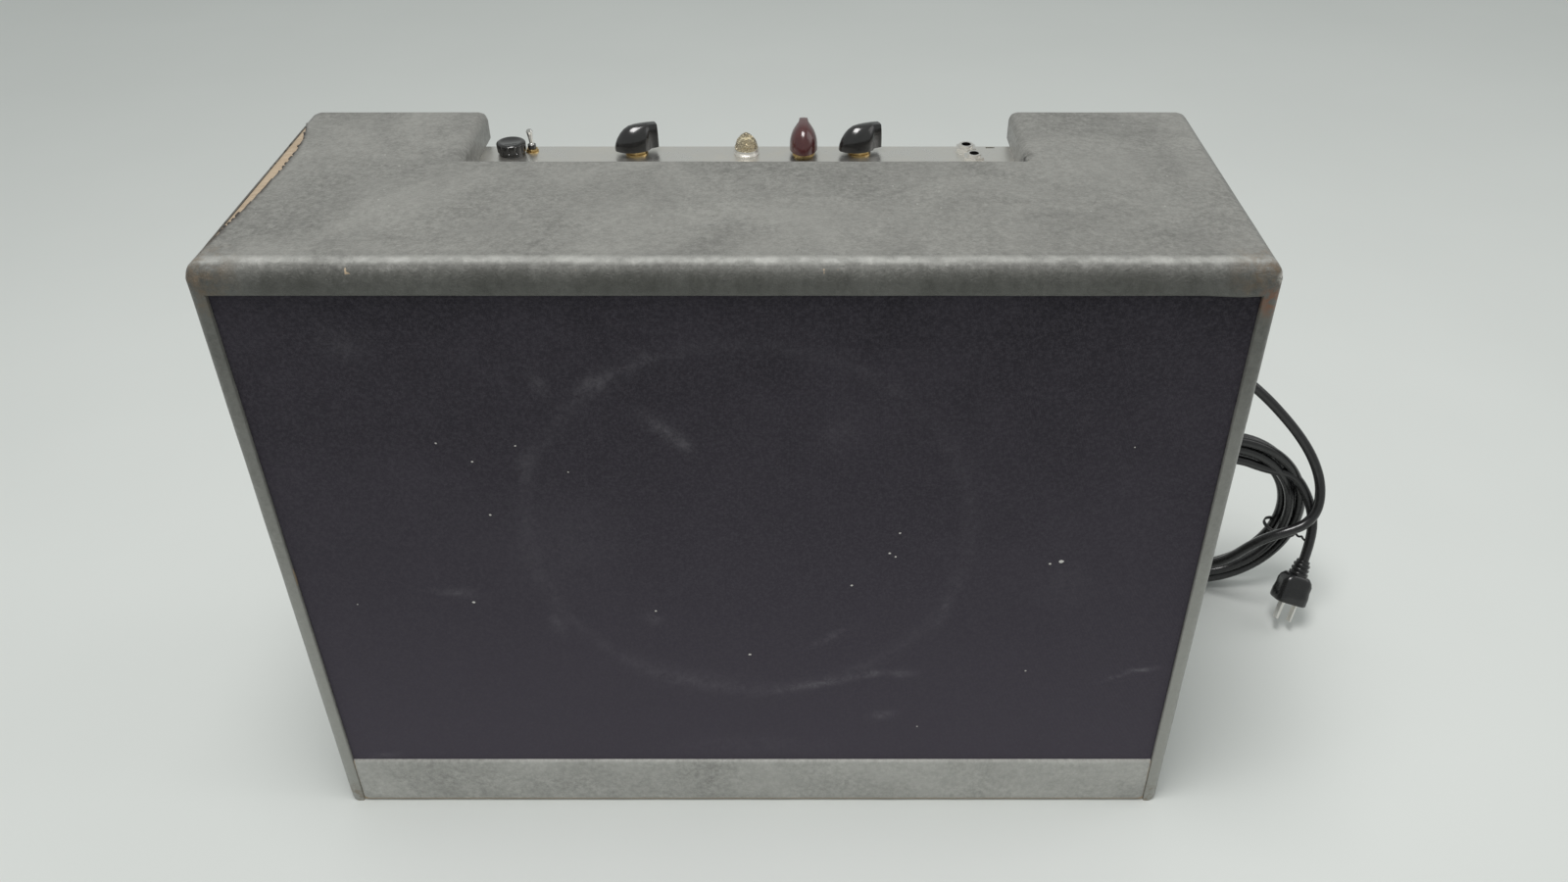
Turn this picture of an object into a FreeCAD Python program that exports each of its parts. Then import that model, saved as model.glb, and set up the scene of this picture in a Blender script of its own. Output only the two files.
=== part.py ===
"""A combo guitar amplifier: covered cabinet, grille, rear-top control panel, valve chassis, speaker, cord.

Millimetres. +X is to the right as the grille is faced, +Y runs to the open back, +Z is up.
The origin is the middle of the cabinet's footprint, on the floor.
"""
import FreeCAD, Part
import math
import os

V = FreeCAD.Vector
X, Y, Z = V(1, 0, 0), V(0, 1, 0), V(0, 0, 1)

# Cabinet
WIDTH = 610.0
HEIGHT = 455.0
DEPTH = 230.0
COVER = 1.0             # vinyl covering
BOARD = 18.0            # main boards
EDGE_ROUND = 9.0        # outer edges, over the covering
GRIP = 9.5              # the side boards' front strip beside the grille
FRONT, REAR = -DEPTH / 2, DEPTH / 2
INNER_X = WIDTH / 2 - COVER - BOARD
GRILLE_X = WIDTH / 2 - GRIP
UNDER_TOP = HEIGHT - COVER - BOARD
RAIL_TOP = 43.5
CLOTH_SETBACK = 2.5
CLOTH = 1.0
BAFFLE = 12.0
CLOTH_Y = FRONT + CLOTH_SETBACK
BAFFLE_Y = CLOTH_Y + CLOTH
BAFFLE_BACK = BAFFLE_Y + BAFFLE
RABBET_GAP = 0.5

# Notch in the rear of the top
NOTCH_LEFT, NOTCH_RIGHT = -182.0, 181.0
NOTCH_FRONT = 29.5
NOTCH_ROUND = 8.0       # its corners in plan
NOTCH_EDGE = 6.5        # its top edges, over the covering

# Back panels
PANEL = 6.0
PANEL_Y = 96.0
UPPER_PANEL = (318.0, 431.0)
LOWER_PANEL = (BOARD + COVER + 0.5, 130.0)
CLEAT = 15.0

# Chassis, a channel open to the rear
STEEL = 1.5
CHASSIS_X = 220.0
CHASSIS_FRONT, CHASSIS_REAR = 10.0, PANEL_Y
CHASSIS_TOP = UNDER_TOP
CHASSIS_HEIGHT = 52.0
CHASSIS_BOTTOM = CHASSIS_TOP - CHASSIS_HEIGHT
EAR = 22.0

# Controls, in one row along the panel
ROW_Y = 85.0
PITCH = 38.1
VOLUME_X, MIDDLE_X, TONE_X = -2 * PITCH, PITCH, 2 * PITCH
PILOT_X = -1.0
FUSE_X = -161.7
SWITCH_X, SWITCH_Y = -148.3, 88.0
SLOT_X, SLOT_Y = 167.0, 94.0       # a short slot in the panel beside the jacks
JACKS = [(149.7, 88.4), (153.5, 73.0)]
BUSH_R = 4.75           # 3/8 inch bushings
SHAFT_R = 3.17          # 1/4 inch shafts
SHAFT_GAP = 0.05
POT_R = 11.0
NUT_HIGH = 2.5
WASHER_R = 7.7
JACK_BORE_R = 3.2       # takes a 1/4 inch plug
PILOT_R = 6.4
BEZEL_HIGH = 3.6
FUSE_R = 6.3
FLANGE_HIGH = 1.2
CAP_R, CAP_HIGH = 9.8, 7.0
SWITCH_R = 2.8
SWITCH_TOP = CHASSIS_TOP + 5.0
LEVER_BALL_R = 2.0
LEVER_LEAN = 3.0
KNOB_LOW = CHASSIS_TOP + 3.8
BEAK_ANGLE = 200.0      # the black knobs' beaks point left and a little forward
MIDDLE_BEAK_ANGLE = 270.0
# The knob's sections along its pointer: distance from the shaft, half width at the foot and top, height
KNOB_SECTIONS = [
    (14.6, 1.0, 0.4, 1.8), (14.0, 2.4, 0.5, 4.6), (12.5, 4.6, 0.6, 8.0), (10.0, 6.8, 0.8, 11.4),
    (7.5, 8.2, 1.0, 13.9), (4.0, 9.3, 1.4, 15.8), (0.0, 9.5, 1.8, 16.3), (-4.0, 9.0, 2.2, 16.4),
    (-7.0, 7.6, 2.4, 16.4), (-8.6, 5.6, 2.5, 16.4), (-13.8, 4.3, 2.5, 16.2), (-14.8, 4.0, 2.2, 15.6),
]
KNOB_BORE = 11.2

# Valves and transformers under the chassis
TUBE_Y = 58.0
RECTIFIER_X = -118.0
POWER_TUBES_X = [-68.0, -18.0]
PREAMP_TUBES_X = [28.0, 64.0]
NOVAL_R, OCTAL_R = 9.5, 13.5
SOCKET_THICK = 1.5
OCTAL_BASE = 20.0
BOARD_LOW = CHASSIS_BOTTOM + STEEL + 7
BOARD_TOP = BOARD_LOW + 2
CIRCUIT_X = (-105.0, 125.0)
CIRCUIT_Y = (15.0, 44.0)

# Speaker, 12 inch
SPEAKER_X, SPEAKER_Z = 3.0, 261.0
HOLE_R = 141.5
FRAME_R = 154.0
FRAME_Y = BAFFLE_BACK
CONE_R, SURROUND_GAP = 118.0, 0.3
RIM_IN_R = 134.0
COIL_R = 20.0
NECK_Y = -50.0
DUST_Y = -54.5
MAGNET_R = 50.0
BASKET_BACK_Y = -36.0
PLATE_THICK = 6.0
MAGNET_THICK = 20.0
WINDOWS = 8

# Mains cord
CORD_R = 4.25
GLAND = V(196, 60, CHASSIS_BOTTOM)
GLAND_R = 7.0
GLAND_LONG = 32.0
COIL_CENTRE = V(392, 132, 84)
COIL_MEAN_R = 70.5
COIL_HALF_WIDE, COIL_HALF_DEEP = 13.0, 11.0
TIE_ANGLE = math.radians(-16)
PLUG_NECK = V(470, 92.5, 60)
PLUG_AXIS = V(17, 22, 50)
BLADE_LONG, PIN_LONG = 16.0, 18.5
PLUG_BODY_LONG, PLUG_NECK_LONG = 25.0, 14.0

# The lead's route: out of the gland, through the open back, round the rear edge, over and down the
# right of the coil, across its front and into it
LEAD_ROUTE = [
    (196, 60, 352), (196, 60, 326), (200, 69, 296), (211, 86, 270), (230, 107, 252),
    (256, 126, 243), (288, 136.5, 243), (322, 139.5, 246), (355, 139.5, 242), (387, 138, 227),
    (415, 134.5, 206), (437, 130, 185), (455, 126, 165), (468, 120, 146), (476, 113, 126),
    (475.5, 104, 107), (466, 98.5, 94.5), (450, 96.5, 88.5), (435, 98, 80.5), (423.5, 102, 67.5),
    (415, 107, 52.5), (405.5, 113, 39.5), (392, 118.5, 31), (376, 124, 28), (360.5, 128.5, 31.5),
]
TAIL_ROUTE = [(457, 126, 128), (469, 119.5, 112), (475.5, 110, 95), (474.8, 100, 77), (470, 92.5, 60)]


def box(x0, x1, y0, y1, z0, z1):
    return Part.makeBox(x1 - x0, y1 - y0, z1 - z0, V(x0, y0, z0))


def rod(radius, start, end):
    """A round bar from one point to another."""
    way = V(end) - V(start)
    return Part.makeCylinder(radius, way.Length, V(start), way)


def cone(r0, r1, start, end):
    way = V(end) - V(start)
    return Part.makeCone(r0, r1, way.Length, V(start), way)


def tube(outer, inner, start, end):
    return rod(outer, start, end).cut(rod(inner, start, end))


def joined(shapes):
    """One solid from several that touch or overlap."""
    shapes = list(shapes)
    return shapes[0].multiFuse(shapes[1:]).removeSplitter()


def group(shapes):
    """Separate solids kept together in one node."""
    solids = [s for shape in shapes for s in shape.Solids]
    return Part.makeCompound(solids)


def hex_nut(across_flats, low, high, bore, x, y):
    corner = across_flats / math.sqrt(3)
    turns = [math.radians(60 * i + 30) for i in range(7)]
    outline = [V(x + corner * math.cos(a), y + corner * math.sin(a), low) for a in turns]
    prism = Part.Face(Part.makePolygon(outline)).extrude(V(0, 0, high - low))
    chamfer = cone(corner + 2 * (high - low), corner - 0.45, (x, y, low), (x, y, high))
    return prism.common(chamfer).cut(rod(bore, (x, y, low), (x, y, high)))


def turned(profile, origin, axis=Z):
    """A solid turned from (radius, height) points about an axis through origin."""
    points = [V(r, 0, h) for r, h in profile]
    face = Part.Face(Part.makePolygon(points + points[:1]))
    solid = face.revolve(V(0, 0, 0), Z, 360)
    solid = Part.Solid(solid.Shells[0]) if solid.ShapeType != "Solid" else solid
    turn = FreeCAD.Rotation(Z, V(axis))
    solid.Placement = FreeCAD.Placement(V(origin), turn)
    return solid


def speaker_turned(profile):
    """A speaker part turned from (radius, y) points about the speaker's axis."""
    return turned(profile, (SPEAKER_X, 0, SPEAKER_Z), Y)


# Cabinet

def envelope(inset):
    """The cabinet's rounded outside, moved in by inset."""
    low, high = inset, HEIGHT - inset
    side = WIDTH / 2 - inset
    block = box(-side, side, FRONT + inset, REAR - inset, low, high)
    return block.makeFillet(EDGE_ROUND - inset, block.Edges)


def notch(grow):
    """The cut in the rear of the top, moved out into the board by grow."""
    beyond = REAR + 2 * WIDTH
    cut = box(NOTCH_LEFT - grow, NOTCH_RIGHT + grow, NOTCH_FRONT - grow, beyond, UNDER_TOP, HEIGHT + 1)
    corners = [e for e in cut.Edges if is_upright(e) and e.Vertexes[0].Y < REAR]
    return cut.makeFillet(NOTCH_ROUND + grow, corners)


def notched(inset):
    """Room that holds the cabinet up to its notch, whose top edges are rounded, all moved in by inset."""
    beyond = REAR + WIDTH
    top = HEIGHT - inset
    slab = box(-WIDTH, WIDTH, FRONT, beyond, UNDER_TOP, top).cut(notch(inset))
    rim = [e for e in slab.Edges if is_notch_rim(e, top, beyond)]
    slab = slab.makeFillet(NOTCH_EDGE - inset, rim)
    return joined([slab, box(-WIDTH, WIDTH, FRONT, beyond, 0, UNDER_TOP)])


def is_notch_rim(edge, top, beyond):
    middle = edge.CenterOfMass
    on_top = all(abs(v.Z - top) < 1e-6 for v in edge.Vertexes)
    return on_top and abs(middle.x) < -NOTCH_LEFT + COVER + 1 and FRONT < middle.y < beyond - 1


def is_upright(edge):
    a, b = edge.Vertexes[0].Point, edge.Vertexes[-1].Point
    return abs(a.x - b.x) < 1e-6 and abs(a.y - b.y) < 1e-6


def shell_room():
    """The hollow of the cabinet, open at the front and the back."""
    return box(-INNER_X, INNER_X, FRONT - 1, REAR + 1, COVER + BOARD, UNDER_TOP)


def rabbet():
    """The step in the front of the side boards that the baffle and the rail sit in."""
    return box(-GRILLE_X, GRILLE_X, FRONT - 1, BAFFLE_BACK, -1, UNDER_TOP)


def screws():
    """Every wood screw of the cabinet: baffle, back panels and chassis."""
    made = []
    baffle_x = INNER_X + 5
    for x in (-baffle_x, baffle_x):
        for z in (90, 170, 310, 400):
            made.append(wood_screw(V(x, BAFFLE_Y, z), Y))
    panel_x = INNER_X - CLEAT / 2
    for low, high in (UPPER_PANEL, LOWER_PANEL):
        for x in (-panel_x, panel_x):
            for z in (low + 15, high - 15):
                made.append(panel_screw(V(x, PANEL_Y + PANEL, z), -Y, 16))
    for x in (-CHASSIS_X - EAR / 2, CHASSIS_X + EAR / 2):
        for y in (40, 80):
            made.append(panel_screw(V(x, y, CHASSIS_TOP - STEEL), Z, 14))
    return made


def wood_screw(at, way, length=20.0, shank=1.8, head=3.6):
    """A countersunk screw whose head is flush at the point, pointing along way."""
    sink = head - shank
    shaft = rod(shank, at + way * sink, at + way * length)
    return joined([cone(head, shank, at, at + way * sink), shaft])


def panel_screw(at, way, length, shank=1.8, head=4.0, thick=2.2):
    """A round-head screw with a cross recess, whose head stands on the surface at the point."""
    shaft = rod(shank, at, at + way * length)
    crown = at - way * thick
    button = rod(head, crown, at)
    rim = [e for e in button.Edges if e.CenterOfMass.distanceToPoint(crown) < 0.1]
    button = button.makeFillet(thick * 0.7, rim)
    across, wide = 2.3, 0.4
    for half_x, half_y in ((across, wide), (wide, across)):
        slot = box(-half_x, half_x, -half_y, half_y, 0, 1.3)
        slot.Placement = FreeCAD.Placement(crown, FreeCAD.Rotation(Z, way))
        button = button.cut(slot)
    return joined([button, shaft])


def top_board(holes):
    slab = box(-WIDTH, WIDTH, FRONT, REAR, UNDER_TOP, HEIGHT)
    return envelope(COVER).common(slab).common(notched(COVER)).cut(holes)


def side_board(sign, holes):
    low, high = sorted((sign * INNER_X, sign * WIDTH))
    slab = box(low, high, FRONT, REAR, 0, UNDER_TOP)
    return envelope(COVER).common(slab).cut(rabbet()).cut(holes)


def bottom_board():
    slab = box(-INNER_X, INNER_X, BAFFLE_BACK, REAR, 0, COVER + BOARD)
    return envelope(COVER).common(slab)


def front_rail():
    side = GRILLE_X - RABBET_GAP
    return box(-side, side, FRONT + COVER, BAFFLE_BACK, COVER, RAIL_TOP)


def wrap_covering():
    """The covering of the sides and top, with the walls of the notch."""
    outside = envelope(0).common(notched(0))
    skin = outside.cut(envelope(COVER).common(notched(COVER)))
    skin = skin.cut(shell_room()).cut(rabbet())
    return skin.cut(box(-INNER_X, INNER_X, FRONT, REAR, -1, COVER + BOARD))


def bottom_covering():
    """The covering of the bottom, carried up over the front rail."""
    side = GRILLE_X - RABBET_GAP
    floor_side = INNER_X
    sheet = box(-floor_side, floor_side, BAFFLE_BACK, REAR - EDGE_ROUND, 0, COVER)
    under_rail = box(-side, side, FRONT, BAFFLE_BACK, 0, COVER)
    face = box(-side, side, FRONT, FRONT + COVER, 0, RAIL_TOP + COVER)
    lip = box(-side, side, FRONT, CLOTH_Y, RAIL_TOP, RAIL_TOP + COVER)
    return joined([sheet, under_rail, face, lip])


def grille_cloth():
    side = GRILLE_X - RABBET_GAP
    return box(-side, side, CLOTH_Y, BAFFLE_Y, RAIL_TOP + COVER / 2, UNDER_TOP - RABBET_GAP)


def baffle_board(holes):
    side = GRILLE_X - RABBET_GAP
    board = box(-side, side, BAFFLE_Y, BAFFLE_BACK, RAIL_TOP, UNDER_TOP - RABBET_GAP)
    opening = rod(HOLE_R, (SPEAKER_X, BAFFLE_Y - 1, SPEAKER_Z), (SPEAKER_X, BAFFLE_BACK + 1, SPEAKER_Z))
    return board.cut(opening).cut(holes)


def back_cleats(holes):
    made = []
    for low, high in (UPPER_PANEL, LOWER_PANEL):
        for x0, x1 in ((-INNER_X, -INNER_X + CLEAT), (INNER_X - CLEAT, INNER_X)):
            made.append(box(x0, x1, PANEL_Y - CLEAT, PANEL_Y, low, high))
    return group([c.cut(holes) for c in made])


def back_panel(span, holes):
    side = INNER_X - RABBET_GAP
    return box(-side, side, PANEL_Y, PANEL_Y + PANEL, *span).cut(holes)


# Chassis and controls

def chassis(holes):
    """A folded channel with ends and two ears, open to the rear."""
    outside = box(-CHASSIS_X, CHASSIS_X, CHASSIS_FRONT, CHASSIS_REAR, CHASSIS_BOTTOM, CHASSIS_TOP)
    room_side = CHASSIS_X - STEEL
    room = box(-room_side, room_side, CHASSIS_FRONT + STEEL, CHASSIS_REAR + 1,
               CHASSIS_BOTTOM + STEEL, CHASSIS_TOP - STEEL)
    ear_side = CHASSIS_X + EAR
    ears = box(-ear_side, ear_side, 25, CHASSIS_REAR - 2, CHASSIS_TOP - STEEL, CHASSIS_TOP)
    folded = joined([outside, ears]).cut(room)
    for radius, x, y in panel_holes():
        folded = folded.cut(rod(radius, (x, y, CHASSIS_TOP - 3), (x, y, CHASSIS_TOP + 3)))
    for radius, x in socket_holes():
        low = V(x, TUBE_Y, CHASSIS_BOTTOM)
        folded = folded.cut(rod(radius, low - Z * 3, low + Z * 3))
    folded = folded.cut(rod(GLAND_R, GLAND - Z * 3, GLAND + Z * 3))
    slot = box(SLOT_X - 3, SLOT_X + 3, SLOT_Y - 1, SLOT_Y + 1, CHASSIS_TOP - STEEL - 1, CHASSIS_TOP + 1)
    folded = folded.cut(slot)
    return folded.cut(holes)


def panel_holes():
    pots = [(BUSH_R, x, ROW_Y) for x in (VOLUME_X, MIDDLE_X, TONE_X)]
    jacks = [(BUSH_R, x, y) for x, y in JACKS]
    rest = [(PILOT_R, PILOT_X, ROW_Y), (FUSE_R, FUSE_X, ROW_Y), (SWITCH_R, SWITCH_X, SWITCH_Y)]
    return pots + jacks + rest


def socket_holes():
    octal = [(OCTAL_R, x) for x in [RECTIFIER_X] + POWER_TUBES_X]
    return octal + [(NOVAL_R, x) for x in PREAMP_TUBES_X]


def pot_body(x):
    """A potentiometer's can, bushing and three lugs, bored for its shaft."""
    under = CHASSIS_TOP - STEEL
    can = rod(POT_R, (x, ROW_Y, under - 12), (x, ROW_Y, under))
    bush = rod(BUSH_R, (x, ROW_Y, under), (x, ROW_Y, CHASSIS_TOP + 4))
    lug_front = ROW_Y - POT_R - 7
    lugs = [box(x + dx - 1.5, x + dx + 1.5, lug_front, ROW_Y, under - 6, under - 5) for dx in (-5, 0, 5)]
    bore = rod(SHAFT_R + SHAFT_GAP, (x, ROW_Y, under - 9), (x, ROW_Y, CHASSIS_TOP + 5))
    return joined([can, bush] + lugs).cut(bore)


def pot_shaft(x):
    return rod(SHAFT_R, (x, ROW_Y, CHASSIS_TOP - STEEL - 8), (x, ROW_Y, CHASSIS_TOP + 15))


def panel_nut(x, y):
    """A washer with a hexagon nut on it, round a 3/8 inch bushing."""
    washer = tube(WASHER_R, BUSH_R, (x, y, CHASSIS_TOP), (x, y, CHASSIS_TOP + 0.8))
    nut = hex_nut(12.7, CHASSIS_TOP + 0.8, CHASSIS_TOP + 0.8 + NUT_HIGH, BUSH_R, x, y)
    return joined([washer, nut])


def pointer_knob(x, beak_angle):
    """A pointer knob: a domed hub drawn out to a beak on one side and a tall square tail on the other."""
    wires = []
    for along, foot, top, high in KNOB_SECTIONS:
        shoulder = top + (foot - top) * 0.65
        half = [(foot, 0), (foot * 0.96, high * 0.35), (shoulder, high * 0.75), (top, high)]
        corners = [V(along, a, b) for a, b in half] + [V(along, -a, b) for a, b in reversed(half)]
        wires.append(Part.makePolygon(corners + corners[:1]))
    knob = Part.makeLoft(wires, True, True)
    knob = knob.cut(rod(SHAFT_R, (0, 0, -1), (0, 0, KNOB_BORE))).cut(rod(BUSH_R + 0.4, (0, 0, -1), (0, 0, 1)))
    knob.Placement = FreeCAD.Placement(V(x, ROW_Y, KNOB_LOW), FreeCAD.Rotation(Z, beak_angle))
    return knob


def pilot_bezel():
    """A chromed ring on the panel whose threaded neck passes through it."""
    at = V(PILOT_X, ROW_Y, CHASSIS_TOP)
    ring = cone(8.9, 8.5, at, at + Z * BEZEL_HIGH)
    neck = rod(PILOT_R, at - Z * (STEEL + 5), at)
    return joined([ring, neck]).cut(rod(5.4, at - Z * 10, at + Z * 10))


def pilot_jewel():
    """A faceted dome of clear amber glass with a plug that sits in the bezel."""
    at = V(PILOT_X, ROW_Y, CHASSIS_TOP + BEZEL_HIGH)
    dome = turned([(0, 0), (8.0, 0), (7.7, 3), (6.2, 6.4), (3.4, 9.4), (1.2, 10.8), (0, 11.0)], at)
    return joined([dome, rod(5.3, at - Z * 3, at)])


def pilot_bulb_holder():
    """The lamp socket under the bezel, with its bulb."""
    under = CHASSIS_TOP - STEEL - 5
    holder = rod(7.5, (PILOT_X, ROW_Y, under - 20), (PILOT_X, ROW_Y, under))
    bulb = rod(4.4, (PILOT_X, ROW_Y, under), (PILOT_X, ROW_Y, under + 6.8))
    return group([holder, bulb])


def fuse_holder():
    """A panel fuse holder: flange on the panel, bush through it, body below, bored for the fuse."""
    top = CHASSIS_TOP
    flange = rod(8.6, (FUSE_X, ROW_Y, top), (FUSE_X, ROW_Y, top + FLANGE_HIGH))
    body = rod(FUSE_R, (FUSE_X, ROW_Y, top - 39), (FUSE_X, ROW_Y, top))
    nut = hex_nut(15.0, top - STEEL - 3, top - STEEL, FUSE_R - 0.1, FUSE_X, ROW_Y)
    bore = rod(3.6, (FUSE_X, ROW_Y, top - 36), (FUSE_X, ROW_Y, top + 2))
    return joined([flange, body, nut]).cut(bore)


def fuse_cap():
    """A fluted cap standing on the holder's flange."""
    low = CHASSIS_TOP + FLANGE_HIGH + 0.3
    cap = cone(CAP_R - 0.4, CAP_R, (FUSE_X, ROW_Y, low), (FUSE_X, ROW_Y, low + CAP_HIGH))
    for i in range(12):
        a = math.radians(30 * i)
        x, y = FUSE_X + CAP_R * 1.03 * math.cos(a), ROW_Y + CAP_R * 1.03 * math.sin(a)
        cap = cap.cut(rod(0.8, (x, y, low - 1), (x, y, low + CAP_HIGH + 1)))
    return cap


def fuse():
    """The fuse, carried by the cap."""
    return rod(3.1, (FUSE_X, ROW_Y, CHASSIS_TOP - 30), (FUSE_X, ROW_Y, CHASSIS_TOP + FLANGE_HIGH + 0.3))


def switch_body():
    under = CHASSIS_TOP - STEEL
    at = V(SWITCH_X, SWITCH_Y, 0)
    case = box(SWITCH_X - 4, SWITCH_X + 4, SWITCH_Y - 6.5, SWITCH_Y + 6.5, under - 10, under)
    bush = rod(SWITCH_R, at + Z * under, at + Z * SWITCH_TOP)
    bore = rod(LEVER_BALL_R + SHAFT_GAP, at + Z * (SWITCH_TOP - 3), at + Z * (SWITCH_TOP + 1))
    tags = []
    for dy in (-4.7, 0, 4.7):
        y = SWITCH_Y + dy
        tags.append(box(SWITCH_X - 1, SWITCH_X + 1, y - 0.4, y + 0.4, under - 14, under - 9))
    return joined([case, bush] + tags).cut(bore)


def switch_nut():
    low = CHASSIS_TOP
    washer = tube(4.4, SWITCH_R, (SWITCH_X, SWITCH_Y, low), (SWITCH_X, SWITCH_Y, low + 0.6))
    return joined([washer, hex_nut(6.8, low + 0.6, low + 2.2, SWITCH_R, SWITCH_X, SWITCH_Y)])


def switch_lever():
    """A bat lever on a ball in the bush, leaning to the left."""
    bat = turned([(0, 0), (1.1, 0), (1.9, 8.4), (2.3, 9.8), (1.5, 11.2), (0, 11.5)], (0, 0, 0))
    lever = joined([Part.makeSphere(LEVER_BALL_R), bat])
    turn = FreeCAD.Rotation(Y, -LEVER_LEAN)
    lever.Placement = FreeCAD.Placement(V(SWITCH_X, SWITCH_Y, SWITCH_TOP - 0.6), turn)
    return lever


def input_jack(x, y):
    under = CHASSIS_TOP - STEEL
    body = rod(7.4, (x, y, under - 22), (x, y, under))
    bush = rod(BUSH_R, (x, y, under), (x, y, CHASSIS_TOP + 5))
    bore = rod(JACK_BORE_R, (x, y, under - 20), (x, y, CHASSIS_TOP + 6))
    return joined([body, bush]).cut(bore)


# Circuit and valves

def circuit_board():
    """An eyelet board on four posts inside the chassis."""
    plate = box(*CIRCUIT_X, *CIRCUIT_Y, BOARD_LOW, BOARD_TOP)
    posts = [rod(2.5, (x, y, CHASSIS_BOTTOM + STEEL), (x, y, BOARD_LOW))
             for x in (CIRCUIT_X[0] + 6, CIRCUIT_X[1] - 6) for y in (20, 39)]
    return joined([plate] + posts)


def board_parts(radius, length, places):
    """Axial parts lying across the board, front to back."""
    middle = sum(CIRCUIT_Y) / 2
    z = BOARD_TOP + radius
    return group([rod(radius, (x, middle - length / 2, z), (x, middle + length / 2, z)) for x in places])


def signal_capacitors():
    return board_parts(4.0, 22.0, [-20 + 24 * i for i in range(6)])


def resistors():
    return board_parts(2.0, 10.0, [-8 + 24 * i for i in range(6)])


def filter_capacitors():
    return board_parts(8.5, 26.0, [-94, -74, -54, -34])


def tube_socket(x, radius, rim):
    """A socket in its hole in the chassis, with a flange under it."""
    at = V(x, TUBE_Y, CHASSIS_BOTTOM)
    flange = rod(radius + rim, at - Z * SOCKET_THICK, at)
    return joined([flange, rod(radius, at, at + Z * 8)])


def tube_sockets():
    octals = [tube_socket(x, OCTAL_R, 4) for x in [RECTIFIER_X] + POWER_TUBES_X]
    return group(octals + [tube_socket(x, NOVAL_R, 3) for x in PREAMP_TUBES_X])


def octal_tube(x, glass_long):
    """A valve hanging from its socket: a round base and a shouldered glass envelope."""
    top = CHASSIS_BOTTOM - SOCKET_THICK
    base, end = -OCTAL_BASE, -OCTAL_BASE - glass_long
    profile = [(0, 0), (16.5, 0), (16.5, base), (14.8, base), (14.8, end + 8), (11.5, end + 2)]
    profile += [(5, end), (0, end)]
    return turned(profile, (x, TUBE_Y, top))


def preamp_tube(x):
    """A small all-glass valve with a pip at its end."""
    top = CHASSIS_BOTTOM - SOCKET_THICK
    profile = [(0, 0), (10.4, 0), (10.4, -40), (8.5, -44), (3, -46.5), (1.6, -52), (0, -52.5)]
    return turned(profile, (x, TUBE_Y, top))


def transformer(x0, x1, y0, y1, high):
    """A laminated core between two end bells, bolted up under the chassis."""
    top, low = CHASSIS_BOTTOM, CHASSIS_BOTTOM - high
    middle = (y0 + y1) / 2
    core_half = (y1 - y0) * 0.24
    core = box(x0, x1, middle - core_half, middle + core_half, low, top)
    bell_in = 5.0
    bell = box(x0 + bell_in, x1 - bell_in, y0, y1, low + bell_in, top - bell_in)
    upright = [e for e in bell.Edges if is_upright(e)]
    return joined([core, bell.makeFillet(6.0, upright)])


# Speaker

def speaker_frame(bolts):
    """A pressed basket: rim behind the baffle, a skirt with windows, and a back seat."""
    rim = FRAME_Y
    profile = [(FRAME_R, rim), (FRAME_R, rim + 2), (RIM_IN_R + 3, rim + 2), (131, rim + 9),
               (62, BASKET_BACK_Y - 2), (62, BASKET_BACK_Y), (COIL_R + 4, BASKET_BACK_Y),
               (COIL_R + 4, BASKET_BACK_Y - 2), (60, BASKET_BACK_Y - 2), (129, rim + 7),
               (RIM_IN_R, rim)]
    basket = speaker_turned(profile)
    for i in range(WINDOWS):
        a = math.radians(360 / WINDOWS * (i + 0.5))
        way = V(math.cos(a), 0, math.sin(a))
        seat = V(SPEAKER_X, -68, SPEAKER_Z)
        window = rod(24, seat + way * 60, seat + way * 150)
        basket = basket.cut(window)
    return basket.cut(bolts)


def speaker_bolts():
    """Bolts through the rim into the baffle, one beside each window."""
    made = []
    for i in range(WINDOWS):
        a = math.radians(360 / WINDOWS * i)
        x = SPEAKER_X + (HOLE_R + 6.5) * math.cos(a)
        z = SPEAKER_Z + (HOLE_R + 6.5) * math.sin(a)
        made.append(panel_screw(V(x, FRAME_Y + 2, z), -Y, 12))
    return group(made)


def speaker_surround():
    """The corrugated edge between the cone and the rim."""
    inner = CONE_R + SURROUND_GAP
    step = (RIM_IN_R - inner) / 4
    heights = [0, -1.6, 0, -1.6, 0]
    back = [(inner + i * step, FRAME_Y + h) for i, h in enumerate(heights)] + [(HOLE_R - 1, FRAME_Y)]
    front = [(r, y - 1.0) for r, y in reversed(back)]
    return speaker_turned(back + front)


def speaker_cone():
    outer = CONE_R - SURROUND_GAP
    neck = COIL_R + 0.6
    back = [(outer, FRAME_Y), (neck, NECK_Y), (COIL_R, NECK_Y)]
    paper = 1.2
    front = [(COIL_R, NECK_Y - paper), (neck, NECK_Y - paper)]
    front += [(outer - 0.5, FRAME_Y - paper), (outer, FRAME_Y - paper)]
    return speaker_turned(back + front)


def dust_cap():
    """A paper dome over the cone's neck."""
    rim_r, rise, thick, steps = 27.0, 9.0, 0.8, 6
    turns = [math.radians(90 * i / steps) for i in range(steps + 1)]
    outside = [(rim_r * math.cos(a), DUST_Y - rise * math.sin(a)) for a in turns]
    inside = [((rim_r - thick) * math.cos(a), DUST_Y - (rise - thick) * math.sin(a)) for a in reversed(turns)]
    return speaker_turned([(max(r, 0), y) for r, y in outside + inside])


def voice_coil():
    front, back, inner = NECK_Y - 1.2, NECK_Y + 26, COIL_R - 0.8
    return speaker_turned([(COIL_R, front), (COIL_R, back), (inner, back), (inner, front)])


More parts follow.
